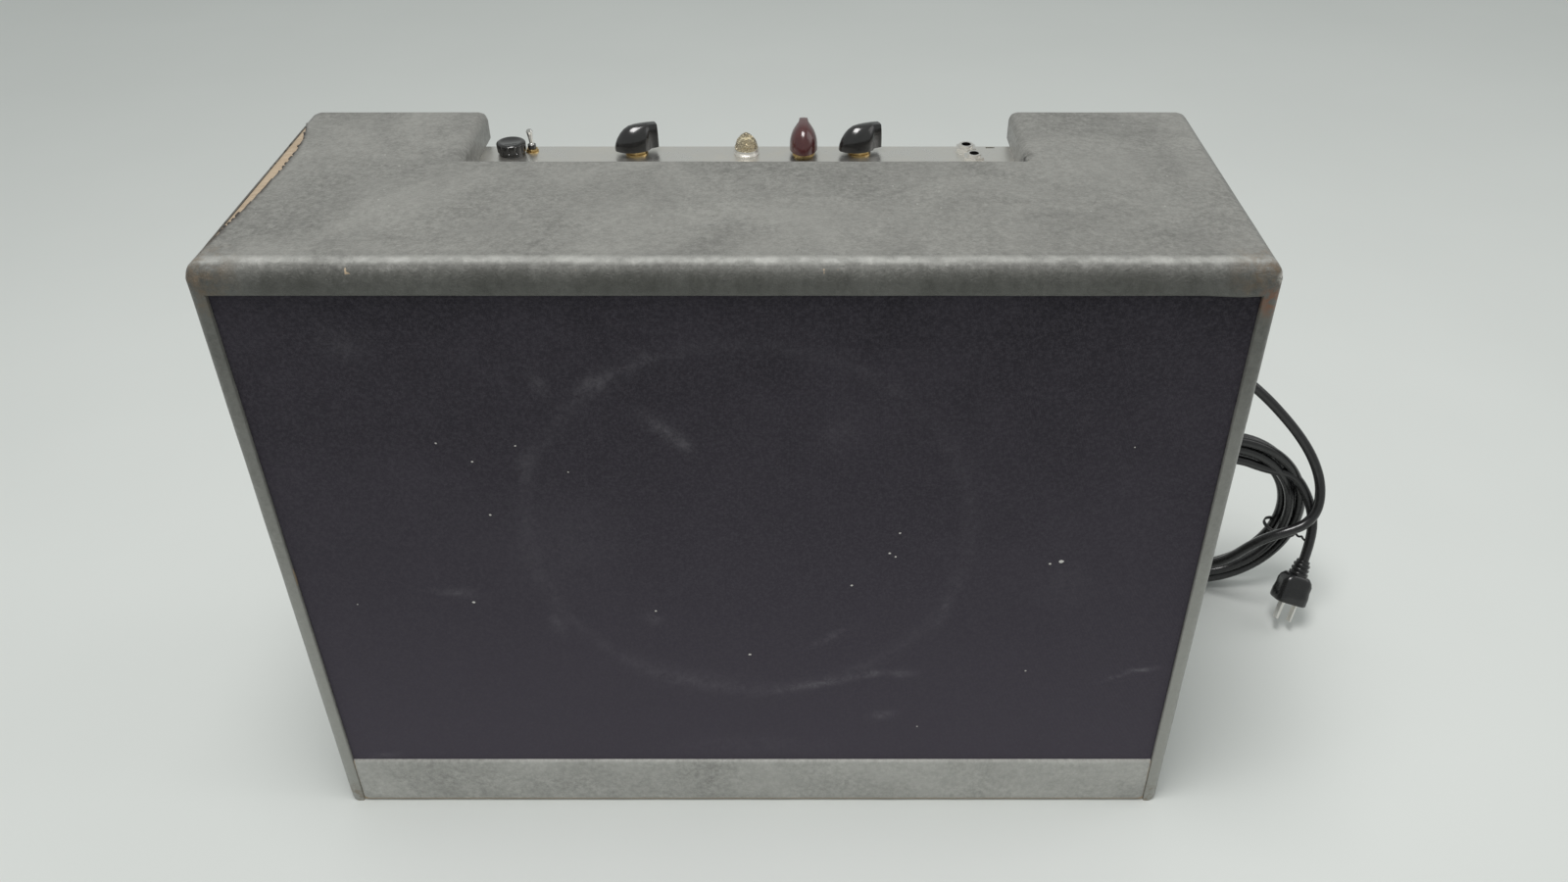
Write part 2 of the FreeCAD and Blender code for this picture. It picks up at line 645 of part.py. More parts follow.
def spider():
    """The corrugated disc that centres the voice coil."""
    seat = BASKET_BACK_Y - 2
    inner = COIL_R + 0.4
    radii = [inner, 30, 37, 44, 51]
    heights = [-45.0, -43.2, -45.0, -43.2, -45.0]
    ups = list(zip(radii, heights)) + [(57, seat)]
    downs = [(57, seat - 1)] + [(r, h - 0.8) for r, h in reversed(list(zip(radii, heights)))]
    return speaker_turned(ups + downs)


def magnet_ring():
    front = BASKET_BACK_Y + PLATE_THICK
    back = front + MAGNET_THICK
    bore = 27.0
    return speaker_turned([(MAGNET_R, front), (MAGNET_R, back), (bore, back), (bore, front)])


def magnet_yoke():
    """The front plate, and the back plate with its pole."""
    front = BASKET_BACK_Y
    hole_r, pole_r = COIL_R + 0.9, COIL_R - 1.7
    plate_back = front + PLATE_THICK
    plate = speaker_turned([(MAGNET_R, front), (MAGNET_R, plate_back), (hole_r, plate_back), (hole_r, front)])
    back = plate_back + MAGNET_THICK
    end = back + PLATE_THICK
    yoke = [(0, front), (pole_r, front), (pole_r, back), (MAGNET_R, back), (MAGNET_R - 3, end), (0, end)]
    return group([plate, speaker_turned(yoke)])


# Cord and leads

def smooth_path(points):
    """Straight runs joined by tangent arcs, each as large as its two runs allow."""
    points = [V(*p) for p in points]
    edges, radii = [], []
    at = points[0]
    for before, here, after in zip(points, points[1:], points[2:]):
        back, on = before - here, after - here
        run = min(back.Length, on.Length)
        back.normalize()
        on.normalize()
        half_turn = (math.pi - back.getAngle(on)) / 2
        cut = 0.45 * run
        radius = cut / math.tan(half_turn)
        radii.append(radius)
        start, end = here + back * cut, here + on * cut
        middle_way = back + on
        middle_way.normalize()
        middle = here + middle_way * (radius / math.cos(half_turn) - radius)
        edges.append(Part.LineSegment(at, start).toShape())
        edges.append(Part.Arc(start, middle, end).toShape())
        at = end
    edges.append(Part.LineSegment(at, points[-1]).toShape())
    return Part.Wire(edges), radii


def cord_tube(name, points, radius):
    """A round cord along a route, with its bends and volume printed."""
    path, radii = smooth_path(points)
    start, way = V(*points[0]), V(*points[1]) - V(*points[0])
    section = Part.Wire([Part.makeCircle(radius, start, way)])
    solid = path.makePipeShell([section], True, False)
    expected = math.pi * radius ** 2 * path.Length
    ratio = round(solid.Volume / expected, 3)
    print(name, "length", round(path.Length), "radii", [round(r) for r in radii], "volume ratio", ratio)
    return solid


def cord_coil():
    """The outer shape of the coil's turns: an upright ring on the floor."""
    wide, deep = COIL_HALF_WIDE, COIL_HALF_DEEP
    corner = 6.0
    section = [(COIL_MEAN_R - wide, -deep + corner), (COIL_MEAN_R - wide + corner, -deep),
               (COIL_MEAN_R + wide - corner, -deep), (COIL_MEAN_R + wide, -deep + corner),
               (COIL_MEAN_R + wide, deep - corner), (COIL_MEAN_R + wide - corner, deep),
               (COIL_MEAN_R - wide + corner, deep), (COIL_MEAN_R - wide, deep - corner)]
    return turned(section, COIL_CENTRE, Y)


def coil_tie(coil):
    """A wire tie round the coil's turns at its right."""
    at = COIL_CENTRE + X * COIL_MEAN_R * math.cos(TIE_ANGLE) + Z * COIL_MEAN_R * math.sin(TIE_ANGLE)
    way = V(-math.sin(TIE_ANGLE), 0, math.cos(TIE_ANGLE))
    wide, deep, high = COIL_HALF_WIDE + 1.5, COIL_HALF_DEEP + 1.5, 1.25
    band = box(-wide, wide, -deep, deep, -high, high)
    band.Placement = FreeCAD.Placement(at, FreeCAD.Rotation(Z, way))
    return band.cut(coil)


def strain_relief():
    """A moulded taper under the chassis, held by a collar inside it."""
    low = CHASSIS_BOTTOM
    profile = [(0, -GLAND_LONG), (5.2, -GLAND_LONG), (8.2, 0), (GLAND_R, 0), (GLAND_R, STEEL)]
    profile += [(9, STEEL), (9, STEEL + 5), (0, STEEL + 5)]
    return turned(profile, (GLAND.x, GLAND.y, low))


def on_plug(shape):
    """Carries a shape built up from the pin's tip along Z to the plug's place."""
    whole = PIN_LONG + PLUG_BODY_LONG + PLUG_NECK_LONG
    way = V(PLUG_AXIS)
    way.normalize()
    shape.Placement = FreeCAD.Placement(PLUG_NECK - way * whole, FreeCAD.Rotation(Z, way))
    return shape


def plug_body():
    """A moulded block with a ribbed neck."""
    low, high = PIN_LONG, PIN_LONG + PLUG_BODY_LONG
    block = box(-14, 14, -11, 11, low, high)
    block = block.makeChamfer(3.5, block.Edges)
    neck = cone(8.0, 5.6, (0, 0, high - 1), (0, 0, high + PLUG_NECK_LONG))
    ribs = [rod(8.2 - 0.4 * i, (0, 0, high + 1 + 4 * i), (0, 0, high + 3 + 4 * i)) for i in range(3)]
    return on_plug(joined([block, neck] + ribs))


def plug_pins():
    """Two flat blades and a round earth pin."""
    low = PIN_LONG - BLADE_LONG
    blades = [box(x - 0.8, x + 0.8, -6.2, 0.2, low, PIN_LONG) for x in (-6.35, 6.35)]
    pin = rod(2.4, (0, 7.0, 0), (0, 7.0, PIN_LONG))
    return on_plug(group(blades + [pin]))


def speaker_leads():
    """Two insulated wires from the output transformer to the speaker's terminals."""
    routes = []
    for i in (0, 1):
        x = 92 - 6 * i
        routes.append([(x + 6, 50, 330 - 4 * i), (x - 8, 36, 312 - 4 * i), (x - 20, 12, 296 - 4 * i),
                       (x - 24, -14, 292 - 4 * i), (x - 26, -36, 290 - 4 * i)])
    return group([cord_tube("speaker_lead", r, 1.4) for r in routes])


def main():
    os.makedirs("parts", exist_ok=True)
    wood = group(screws())
    bolts = speaker_bolts()
    coil = cord_coil()
    nodes = {
        "top_board": top_board(wood),
        "left_side_board": side_board(-1, wood),
        "right_side_board": side_board(1, wood),
        "bottom_board": bottom_board(),
        "front_rail": front_rail(),
        "wrap_covering": wrap_covering(),
        "bottom_covering": bottom_covering(),
        "grille_cloth": grille_cloth(),
        "baffle_board": baffle_board(group([wood, bolts])),
        "wood_screws": wood,
        "back_cleats": back_cleats(wood),
        "upper_back_panel": back_panel(UPPER_PANEL, wood),
        "lower_back_panel": back_panel(LOWER_PANEL, wood),
        "chassis": chassis(wood),
        "pot_bodies": group([pot_body(x) for x in (VOLUME_X, MIDDLE_X, TONE_X)]),
        "pot_nuts": group([panel_nut(x, ROW_Y) for x in (VOLUME_X, MIDDLE_X, TONE_X)]),
        "volume_shaft": pot_shaft(VOLUME_X),
        "middle_shaft": pot_shaft(MIDDLE_X),
        "tone_shaft": pot_shaft(TONE_X),
        "volume_knob": pointer_knob(VOLUME_X, BEAK_ANGLE),
        "middle_knob": pointer_knob(MIDDLE_X, MIDDLE_BEAK_ANGLE),
        "tone_knob": pointer_knob(TONE_X, BEAK_ANGLE),
        "pilot_bezel": pilot_bezel(),
        "pilot_jewel": pilot_jewel(),
        "pilot_bulb_holder": pilot_bulb_holder(),
        "fuse_holder": fuse_holder(),
        "fuse_cap": fuse_cap(),
        "fuse": fuse(),
        "switch_body": switch_body(),
        "switch_nut": switch_nut(),
        "switch_lever": switch_lever(),
        "input_jacks": group([input_jack(x, y) for x, y in JACKS]),
        "jack_nuts": group([panel_nut(x, y) for x, y in JACKS]),
        "circuit_board": circuit_board(),
        "signal_capacitors": signal_capacitors(),
        "resistors": resistors(),
        "filter_capacitors": filter_capacitors(),
        "tube_sockets": tube_sockets(),
        "preamp_tubes": group([preamp_tube(x) for x in PREAMP_TUBES_X]),
        "power_tubes": group([octal_tube(x, 56) for x in POWER_TUBES_X]),
        "rectifier_tube": octal_tube(RECTIFIER_X, 60),
        "power_transformer": transformer(-214, -144, 18, 90, 62),
        "output_transformer": transformer(92, 148, 26, 84, 50),
        "speaker_frame": speaker_frame(bolts),
        "speaker_bolts": bolts,
        "speaker_surround": speaker_surround(),
        "speaker_cone": speaker_cone(),
        "dust_cap": dust_cap(),
        "voice_coil": voice_coil(),
        "spider": spider(),
        "magnet_ring": magnet_ring(),
        "magnet_yoke": magnet_yoke(),
        "speaker_leads": speaker_leads(),
        "strain_relief": strain_relief(),
        "cord_lead": cord_tube("cord_lead", LEAD_ROUTE, CORD_R),
        "cord_coil": coil,
        "cord_tail": cord_tube("cord_tail", TAIL_ROUTE, CORD_R),
        "coil_tie": coil_tie(coil),
        "plug_body": plug_body(),
        "plug_pins": plug_pins(),
    }
    for name, shape in nodes.items():
        good = shape.isValid() and all(s.Volume > 0 for s in shape.Solids)
        verdict = "ok" if good else "BAD"
        print(name, len(shape.Solids), "solids", verdict, round(shape.Volume / 1000, 2), "cm3")
        shape.exportStep(f"parts/{name}.step")
    print(len(nodes), "nodes")


main()
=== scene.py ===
"""The looks of a combo guitar amplifier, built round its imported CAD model, in Blender's metres."""
import math
import random
import bmesh
import bpy
from mathutils import Matrix, Vector, noise


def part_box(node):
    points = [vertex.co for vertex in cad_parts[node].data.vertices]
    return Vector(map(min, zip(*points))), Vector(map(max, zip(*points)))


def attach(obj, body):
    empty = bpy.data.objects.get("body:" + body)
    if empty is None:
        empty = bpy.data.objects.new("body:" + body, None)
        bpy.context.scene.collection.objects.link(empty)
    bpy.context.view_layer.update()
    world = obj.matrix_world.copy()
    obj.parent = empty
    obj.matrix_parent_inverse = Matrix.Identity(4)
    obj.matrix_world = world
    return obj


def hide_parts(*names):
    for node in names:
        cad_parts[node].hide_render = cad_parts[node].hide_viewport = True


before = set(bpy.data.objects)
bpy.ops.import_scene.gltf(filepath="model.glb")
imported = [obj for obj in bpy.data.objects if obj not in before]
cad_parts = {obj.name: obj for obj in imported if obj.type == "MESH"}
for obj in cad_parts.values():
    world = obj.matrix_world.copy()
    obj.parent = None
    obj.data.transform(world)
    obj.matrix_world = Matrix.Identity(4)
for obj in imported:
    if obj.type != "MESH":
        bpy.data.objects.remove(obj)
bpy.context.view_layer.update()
MM = 0.001
PAINTS = {}             # every material by its name, filled in main()

# The cabinet, in millimetres. X is to the right, the grille faces -Y.
SIDE = 305.0            # half the width
TOP = 455.0
FRONT, REAR = -115.0, 115.0
GRILLE_SIDE = 295.5     # inner edge of the side strips
INNER_SIDE = 286.0      # inner faces of the side boards
UNDER_TOP = 436.0
CLOTH_Y = -112.5        # the cloth's front face
RECESS_Y = -109.5       # how far back the covering is folded beside the cloth
BAFFLE_BACK = -99.5
RAIL_TOP = 44.5         # top of the covered front rail
NOTCH_LEFT, NOTCH_RIGHT, NOTCH_FRONT = -182.0, 181.0, 29.5
COVER = 0.9             # the covering's thickness
TEAR_FRONT, TEAR_REAR = -104, 97  # the tear's ends along the top's left edge
SPEAKER_X, SPEAKER_Z = 3.0, 261.0
SPEAKER_RING = 142.0    # radius of the faint ring on the cloth

# The mains cord. The route's points are the CAD model's, in metres.
CORD_DIAMETER = 0.0085
LEAD_ROUTE = [
    (0.196, 0.060, 0.352), (0.196, 0.060, 0.326), (0.200, 0.069, 0.296), (0.211, 0.086, 0.270),
    (0.230, 0.107, 0.252), (0.256, 0.126, 0.243), (0.288, 0.1365, 0.243), (0.322, 0.1395, 0.246),
    (0.355, 0.1395, 0.242), (0.387, 0.138, 0.227), (0.415, 0.1345, 0.206), (0.437, 0.130, 0.185),
    (0.455, 0.126, 0.165), (0.468, 0.120, 0.146), (0.476, 0.113, 0.126), (0.4755, 0.104, 0.107),
    (0.466, 0.0985, 0.0945), (0.450, 0.0965, 0.0885), (0.435, 0.098, 0.0805), (0.4235, 0.102, 0.0675),
    (0.415, 0.107, 0.0525), (0.4055, 0.113, 0.0395), (0.392, 0.1185, 0.031), (0.376, 0.124, 0.028),
    (0.3605, 0.1285, 0.0315),
]
TAIL_ROUTE = [
    (0.457, 0.126, 0.128), (0.469, 0.1195, 0.112), (0.4755, 0.110, 0.095), (0.4748, 0.100, 0.077),
    (0.470, 0.0925, 0.060),
]
COIL_CENTRE = Vector((0.392, 0.132, 0.084))
COIL_RADIUS = 0.0705
COIL_START, COIL_END = -139.5, -1755.0  # degrees; the turns run clockwise as seen from the front
COIL_STEP = 24.0
PLUG_NECK = Vector((0.470, 0.0925, 0.060))
PLUG_WAY = Vector((17, 22, 50)).normalized()


# Small tools

def at_mm(x, y, z):
    return Vector((x, y, z)) * MM


def mesh_object(name, points, faces, slot, body="root", replaces=(), smooth=40, paint=None):
    """A new piece from points in metres, riding on a body. Its paint has the slot's name if none is given."""
    mesh = bpy.data.meshes.new(name)
    mesh.from_pydata([tuple(p) for p in points], [], faces)
    mesh.validate()
    work = bmesh.new()
    work.from_mesh(mesh)
    bmesh.ops.recalc_face_normals(work, faces=work.faces)
    work.to_mesh(mesh)
    work.free()
    mesh.materials.append(PAINTS[paint or slot])
    piece = bpy.data.objects.new(name, mesh)
    finish_smooth(piece, smooth)
    bpy.context.scene.collection.objects.link(piece)
    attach(piece, body)
    if replaces:
        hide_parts(*replaces)
    return piece


def finish_smooth(piece, angle):
    """Smooth shading, with edges sharper than an angle in degrees kept sharp."""
    piece.data.shade_smooth()
    piece.data.set_sharp_from_angle(angle=math.radians(angle))


def changed(piece, kind, **values):
    """Adds a modifier and applies it."""
    modifier = piece.modifiers.new(kind.title(), kind)
    for key, value in values.items():
        setattr(modifier, key, value)
    depsgraph = bpy.context.evaluated_depsgraph_get()
    mesh = bpy.data.meshes.new_from_object(piece.evaluated_get(depsgraph))
    piece.modifiers.clear()
    piece.data = mesh
    return piece


def tube_faces(rings, steps):
    """Faces of a tube given as rings of as many points as steps, with its two ends closed."""
    faces = []
    for a in range(0, (rings - 1) * steps, steps):
        for k in range(steps):
            n = (k + 1) % steps
            faces.append((a + k, a + n, a + steps + n, a + steps + k))
    return faces + [tuple(range(end, end + steps)) for end in (0, (rings - 1) * steps)]


def sheet_faces(rows, columns):
    """Faces of a sheet given as rows of points."""
    corners = [a * columns + k for a in range(rows - 1) for k in range(columns - 1)]
    return [(a, a + 1, a + columns + 1, a + columns) for a in corners]


def lathe(profile, steps=48, radius_at=None):
    """Points and faces of a shape turned about Z from (radius, height) pairs, with its two ends closed."""
    points = []
    for radius, height in profile:
        for k in range(steps):
            angle = 2 * math.pi * k / steps
            r = radius if radius_at is None else radius_at(radius, height, angle)
            points.append(Vector((r * math.cos(angle), r * math.sin(angle), height)))
    return points, tube_faces(len(profile), steps)


def moved(points, place, way=Vector((0, 0, 1))):
    """Points built about Z in millimetres, turned so that Z runs along way, and put at a place in metres."""
    turn = Vector((0, 0, 1)).rotation_difference(Vector(way)).to_matrix()
    return [Vector(place) + turn @ (Vector(p) * MM) for p in points]


def merged(parts):
    """One list of points and faces from several."""
    points, faces = [], []
    for more_points, more_faces in parts:
        start = len(points)
        points.extend(more_points)
        faces.extend(tuple(start + i for i in face) for face in more_faces)
    return points, faces


def block(x0, x1, y0, y1, z0, z1):
    points = [Vector((x, y, z)) for x in (x0, x1) for y in (y0, y1) for z in (z0, z1)]
    faces = [(0, 1, 3, 2), (4, 6, 7, 5), (0, 4, 5, 1), (2, 3, 7, 6), (0, 2, 6, 4), (1, 5, 7, 3)]
    return points, faces


def round_line(name, points, radius, resolution, bevel):
    """A curve object of round section, whose control points are given in metres."""
    curve = bpy.data.curves.new(name, "CURVE")
    curve.dimensions = "3D"
    spline = curve.splines.new("NURBS")
    spline.points.add(len(points) - 1)
    for spot, point in zip(spline.points, points):
        spot.co = (*point, 1)
    spline.order_u = 3
    spline.use_endpoint_u = True
    spline.resolution_u = resolution
    curve.bevel_depth = radius
    curve.bevel_resolution = bevel
    curve.use_fill_caps = True
    piece = bpy.data.objects.new(name, curve)
    bpy.context.scene.collection.objects.link(piece)
    return piece


def wire(points, radius):
    """A wire's points and faces."""
    holder = round_line("wire", points, radius, 4, 2)
    bpy.context.view_layer.update()
    mesh = bpy.data.meshes.new_from_object(holder.evaluated_get(bpy.context.evaluated_depsgraph_get()))
    made = [v.co.copy() for v in mesh.vertices], [tuple(p.vertices) for p in mesh.polygons]
    bpy.data.objects.remove(holder)
    return made


def centre_of(node):
    low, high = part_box(node)
    return (low + high) / 2


# Materials

def shade(colour, amount):
    return tuple(c * amount for c in colour)


class Paint:
    """A material being mixed. Each call adds a node and gives its output."""

    def __init__(self, name, colour, rough):
        self.material = bpy.data.materials.new(name)
        self.material.use_nodes = True
        self.tree = self.material.node_tree
        self.shader = self.tree.nodes["Principled BSDF"]
        self.place = self.tree.nodes.new("ShaderNodeTexCoord").outputs["Object"]
        self.shader.inputs["Base Color"].default_value = (*colour, 1)
        self.shader.inputs["Roughness"].default_value = rough
        self.normal = None

    def node(self, kind, inputs=None, **settings):
        made = self.tree.nodes.new(kind)
        for key, value in settings.items():
            setattr(made, key, value)
        for key, value in (inputs or {}).items():
            self.feed(made.inputs[key], value)
        return made

    def feed(self, socket, value):
        if isinstance(value, bpy.types.NodeSocket):
            self.tree.links.new(value, socket)
        elif isinstance(value, (tuple, list)) and socket.type == "RGBA" and len(value) == 3:
            socket.default_value = (*value, 1)
        else:
            socket.default_value = value

    def set(self, socket, value):
        self.feed(self.shader.inputs[socket], value)

    def stretched(self, sizes):
        return self.node("ShaderNodeMapping", {"Vector": self.place, "Scale": sizes}).outputs["Vector"]

    def noise(self, scale, detail=4.0, rough=0.55, stretch=None, warp=0.0):
        where = self.stretched(stretch) if stretch else self.place
        inputs = {"Vector": where, "Scale": scale, "Detail": detail, "Roughness": rough, "Distortion": warp}
        return self.node("ShaderNodeTexNoise", inputs).outputs["Fac"]

    def cells(self, scale, feature="F1", smooth=None):
        inputs = {"Vector": self.place, "Scale": scale}
        made = self.node("ShaderNodeTexVoronoi", inputs, feature=feature)
        if smooth is not None:
            made.inputs["Smoothness"].default_value = smooth
        return made.outputs["Distance"]

    def waves(self, scale, along, warp=0.0):
        inputs = {"Vector": self.place, "Scale": scale, "Distortion": warp, "Detail": 2.0}
        return self.node("ShaderNodeTexWave", inputs, bands_direction=along).outputs["Fac"]

    def axis(self, name):
        return self.node("ShaderNodeSeparateXYZ", {"Vector": self.place}).outputs[name]

    def span(self, axis, start, end):
        """0 to 1 between two places along an axis, in millimetres."""
        return self.range(self.axis(axis), start * MM, end * MM)

    def distance(self, point):
        made = self.node("ShaderNodeVectorMath", {0: self.place, 1: tuple(point)}, operation="DISTANCE")
        return made.outputs["Value"]

    def painted(self, name):
        """A value that the mesh carries at each point."""
        return self.node("ShaderNodeAttribute", attribute_name=name).outputs["Fac"]

    def range(self, value, start, end, low=0.0, high=1.0):
        inputs = {"Value": value, "From Min": start, "From Max": end, "To Min": low, "To Max": high}
        return self.node("ShaderNodeMapRange", inputs).outputs["Result"]

    def sum(self, operation, a, b):
        return self.node("ShaderNodeMath", {0: a, 1: b}, operation=operation).outputs["Value"]

    def both(self, a, b):
        return self.sum("MULTIPLY", a, b)

    def mix(self, share, a, b):
        made = self.node("ShaderNodeMix", data_type="RGBA")
        self.feed(made.inputs[0], share)
        self.feed(made.inputs[6], a)
        self.feed(made.inputs[7], b)
        return made.outputs[2]

    def bump(self, height, depth, strength=1.0):
        inputs = {"Height": height, "Distance": depth, "Strength": strength}
        if self.normal is not None:
            inputs["Normal"] = self.normal
        self.normal = self.node("ShaderNodeBump", inputs).outputs["Normal"]
        self.set("Normal", self.normal)


def covering_paint(name, dark, light, lining=False):
    """Grey vinyl with a fine leather grain, mottled, browned and rubbed at the cabinet's front corners, with
    painted shade, painted light and a painted highlight on its front.
    """
    p = Paint(name, light, 0.5)
    p.set("Specular IOR Level", 0.5)
    p.set("Sheen Weight", 0.08)
    p.set("Sheen Roughness", 0.5)
    mottle = p.range(p.noise(26, 8, 0.78, warp=0.5), 0.4, 0.62)
    flecks = p.range(p.noise(300, 5, 0.75), 0.38, 0.64)
    cloud = p.range(p.noise(11, 5, 0.65, warp=0.6), 0.36, 0.64)
    tone = p.mix(flecks, dark, light)
    tone = p.mix(p.both(mottle, 0.55), tone, shade(light, 0.66))
    tone = p.mix(p.both(cloud, 0.4), tone, shade(light, 1.42))
    specks = p.range(p.cells(95), 0.075, 0.045)
    some = p.range(p.noise(31, 1, 0.5), 0.56, 0.6)
    tone = p.mix(p.both(p.both(specks, some), 0.6), tone, (0.5, 0.5, 0.47))
    cracks = p.range(p.noise(110, 9, 0.85, warp=1.6), 0.6, 0.66)
    tone = p.mix(p.both(cracks, 0.55), tone, shade(dark, 0.45))
    if not lining:
        tone = grimy_edges(p, tone)
        # painted shade, painted light and a painted highlight on the front strips and the top's front edge
        tone = painted_front_shade_and_highlight(p, tone)
        tone = worn_corners(p, tone)
        tone = p.mix(p.painted("torn"), tone, (0.03, 0.022, 0.018))
    p.set("Base Color", tone)
    p.set("Roughness", p.range(flecks, 0.0, 1.0, 0.46, 0.34))
    grain = p.cells(560, "SMOOTH_F1", smooth=0.4)
    p.bump(p.noise(120, 4, 0.6), 0.0006, 0.45)
    p.bump(grain, 0.0004, 0.4)
    p.bump(p.noise(900, 2, 0.5), 0.00025, 0.3)
    if not lining:
        creased = p.both(p.span("Y", FRONT + 17, FRONT + 6), p.span("Z", TOP - 24, TOP - 12))
        p.bump(p.both(creased, p.noise(150, 6, 0.8, warp=1.2)), 0.0022, 0.9)
    return p.material


def grimy_edges(p, tone):
    """Dirt along the top's side edges, and brown streaks down the strip below its front edge."""
    high = p.span("Z", TOP - 16, TOP - 4)
    aside = p.range(p.sum("ABSOLUTE", p.axis("X"), 0.0), (SIDE - 7) * MM, (SIDE - 1.5) * MM)
    dirt = p.both(aside, p.range(p.noise(60, 6, 0.75), 0.3, 0.6, 0.25, 1.0))
    tone = p.mix(p.both(p.both(high, dirt), 0.6), tone, (0.035, 0.034, 0.029))
    front = p.span("Y", FRONT + 3.5, FRONT + 0.5)
    streaks = p.range(p.noise(34, 5, 0.7, stretch=(1, 1, 0.35)), 0.44, 0.64)
    strip = p.both(front, p.span("Z", UNDER_TOP, UNDER_TOP + 3))
    return p.mix(p.both(p.both(strip, streaks), 0.55), tone, (0.035, 0.034, 0.028))


def painted_front_shade_and_highlight(p, tone):
    """Painted shade on the front strips, darker towards the top; painted light on them lower down, for light
    thrown up from the floor; and a pale painted highlight along the top's front edge, where the covering is
    also rubbed.
    """
    on_front = p.span("Y", FRONT + 3.5, FRONT + 0.5)
    # painted shade: the front strips darker towards the top
    high = p.both(on_front, p.span("Z", 200, 430))
    tone = p.mix(p.both(high, 0.62), tone, (0.052, 0.053, 0.044))
    # painted light: the front strips paler towards the bottom, for light thrown up from the floor
    low = p.both(on_front, p.span("Z", 400, 120))
    tone = p.mix(p.both(low, 0.75), tone, (0.37, 0.37, 0.34))
    # painted highlight: a pale line along the top's rounded front edge, on covering that is also rubbed
    band = p.both(p.span("Y", FRONT + 4.0, FRONT + 6.5), p.span("Y", FRONT + 13.5, FRONT + 8.5))
    line = p.both(band, p.span("Z", TOP - 10, TOP - 5))
    line = p.both(line, p.range(p.noise(70, 5, 0.7), 0.3, 0.62, 0.25, 1.0))
    return p.mix(p.both(line, 0.75), tone, (0.56, 0.56, 0.53))


def worn_corners(p, tone):
    """Brown scuffs on the top's front corners, rust and a chip on the right one, pale feet, a dark spot at
    the notch's right front corner.
    """
    brown, pale = (0.16, 0.115, 0.07), (0.21, 0.17, 0.12)
    rust, chip, dark_spot = (0.2, 0.085, 0.04), (0.62, 0.6, 0.55), (0.02, 0.016, 0.012)
    scuffs = []  # middle in mm, reach and full strength in m, the noise's scale and detail, its range, colour
    for x in (-SIDE, SIDE):
        scuffs.append(((x, FRONT, TOP - 6), (0.034, 0.004), (120, 5), (0.42, 0.6), brown))
        scuffs.append(((x, FRONT, 4), (0.022, 0.004), (160, 5), (0.45, 0.6), pale))
    scuffs += [
        ((SIDE - 3, FRONT + 1, UNDER_TOP - 3), (0.012, 0.003), (260, 4), (0.4, 0.55), rust),
        ((SIDE - 1, FRONT + 4, TOP - 9), (0.005, 0.002), (300, 3), (0.42, 0.5), chip),
        ((NOTCH_RIGHT, NOTCH_FRONT + 9, TOP - 9), (0.012, 0.006), (200, 4), (0.4, 0.55), dark_spot),
    ]
    for middle, reach, grain, limits, colour in scuffs:
        near = p.range(p.distance(at_mm(*middle)), *reach)
        tone = p.mix(p.both(near, p.range(p.noise(*grain, 0.7), *limits)), tone, colour)
    return tone


def cloth_paint():
    """Black grille cloth: a fine weave, a faint ring over the speaker's opening, dust where it was rubbed,
    and painted light and shade, paler towards the bottom and darker towards the top.
    """
    p = Paint("grille_cloth", (0.03, 0.027, 0.034), 0.85)
    p.set("Specular IOR Level", 0.25)
    p.set("Sheen Weight", 0.08)
    p.set("Sheen Roughness", 0.4)
    p.set("Sheen Tint", (0.75, 0.7, 0.85, 1))
    height = p.axis("Z")
    # painted light and shade: the cloth paler towards the bottom and darker towards the top
    base = p.mix(p.range(height, 0.04, 0.44), (0.07, 0.0605, 0.08), (0.0185, 0.016, 0.022))
    base = p.mix(p.range(p.noise(14, 4, 0.6), 0.4, 0.75, 0.0, 0.4), base, (0.06, 0.052, 0.068))
    base = p.mix(p.range(p.noise(520, 4, 0.8), 0.42, 0.7, 0.0, 0.55), base, (0.085, 0.077, 0.093))
    dust = p.both(p.painted("dust"), p.range(p.noise(120, 6, 0.8, warp=0.8), 0.36, 0.62))
    base = p.mix(dust, base, (0.21, 0.2, 0.22))
    p.set("Base Color", base)
    threads = p.both(p.waves(330, "X", 0.4), p.waves(330, "Z", 0.4))
    p.bump(threads, 0.0003, 0.6)
    p.bump(p.noise(40, 3, 0.5), 0.0008, 0.25)
    return p.material


def plywood_paint(name="plywood", light=(0.50, 0.40, 0.29), dark=(0.36, 0.27, 0.18), grain=(2, 22, 22)):
    """Pale veneer: long grain with pores, and plies on the edges."""
    p = Paint(name, light, 0.62)
    lines = p.noise(9, 8, 0.65, grain, 1.2)
    pores = p.range(p.noise(60, 3, 0.6, shade(grain, 0.8)), 0.6, 0.72)
    tone = p.mix(p.range(lines, 0.32, 0.7), dark, light)
    tone = p.mix(p.both(pores, 0.5), tone, shade(dark, 0.6))
    tone = p.mix(p.range(p.noise(5, 2, 0.5), 0.4, 0.75, 0.0, 0.35), tone, shade(light, 0.75))
    p.set("Base Color", tone)
    p.bump(lines, 0.0004, 0.35)
    p.bump(pores, 0.0003, 0.3)
    return p.material


def metal_paint(name, colour, rough, scratch=0.3, stretch=(1, 12, 12), tarnish=None):
    """Bare or plated metal with fine rubbing marks and uneven polish."""
    p = Paint(name, colour, rough)
    p.set("Metallic", 1.0)
    haze = p.range(p.noise(38, 5, 0.65), 0.35, 0.75)
    dirt = tarnish or shade(colour, 0.72)
    p.set("Base Color", p.mix(p.both(haze, 0.6), colour, dirt))
    marks = p.noise(240, 4, 0.7, stretch)
    dull = p.range(haze, 0, 1, rough * 0.8, rough * 1.5)
    p.set("Roughness", p.sum("ADD", dull, p.range(marks, 0.4, 0.8, 0, 0.1)))
    p.bump(marks, 0.00008, scratch)
    return p.material


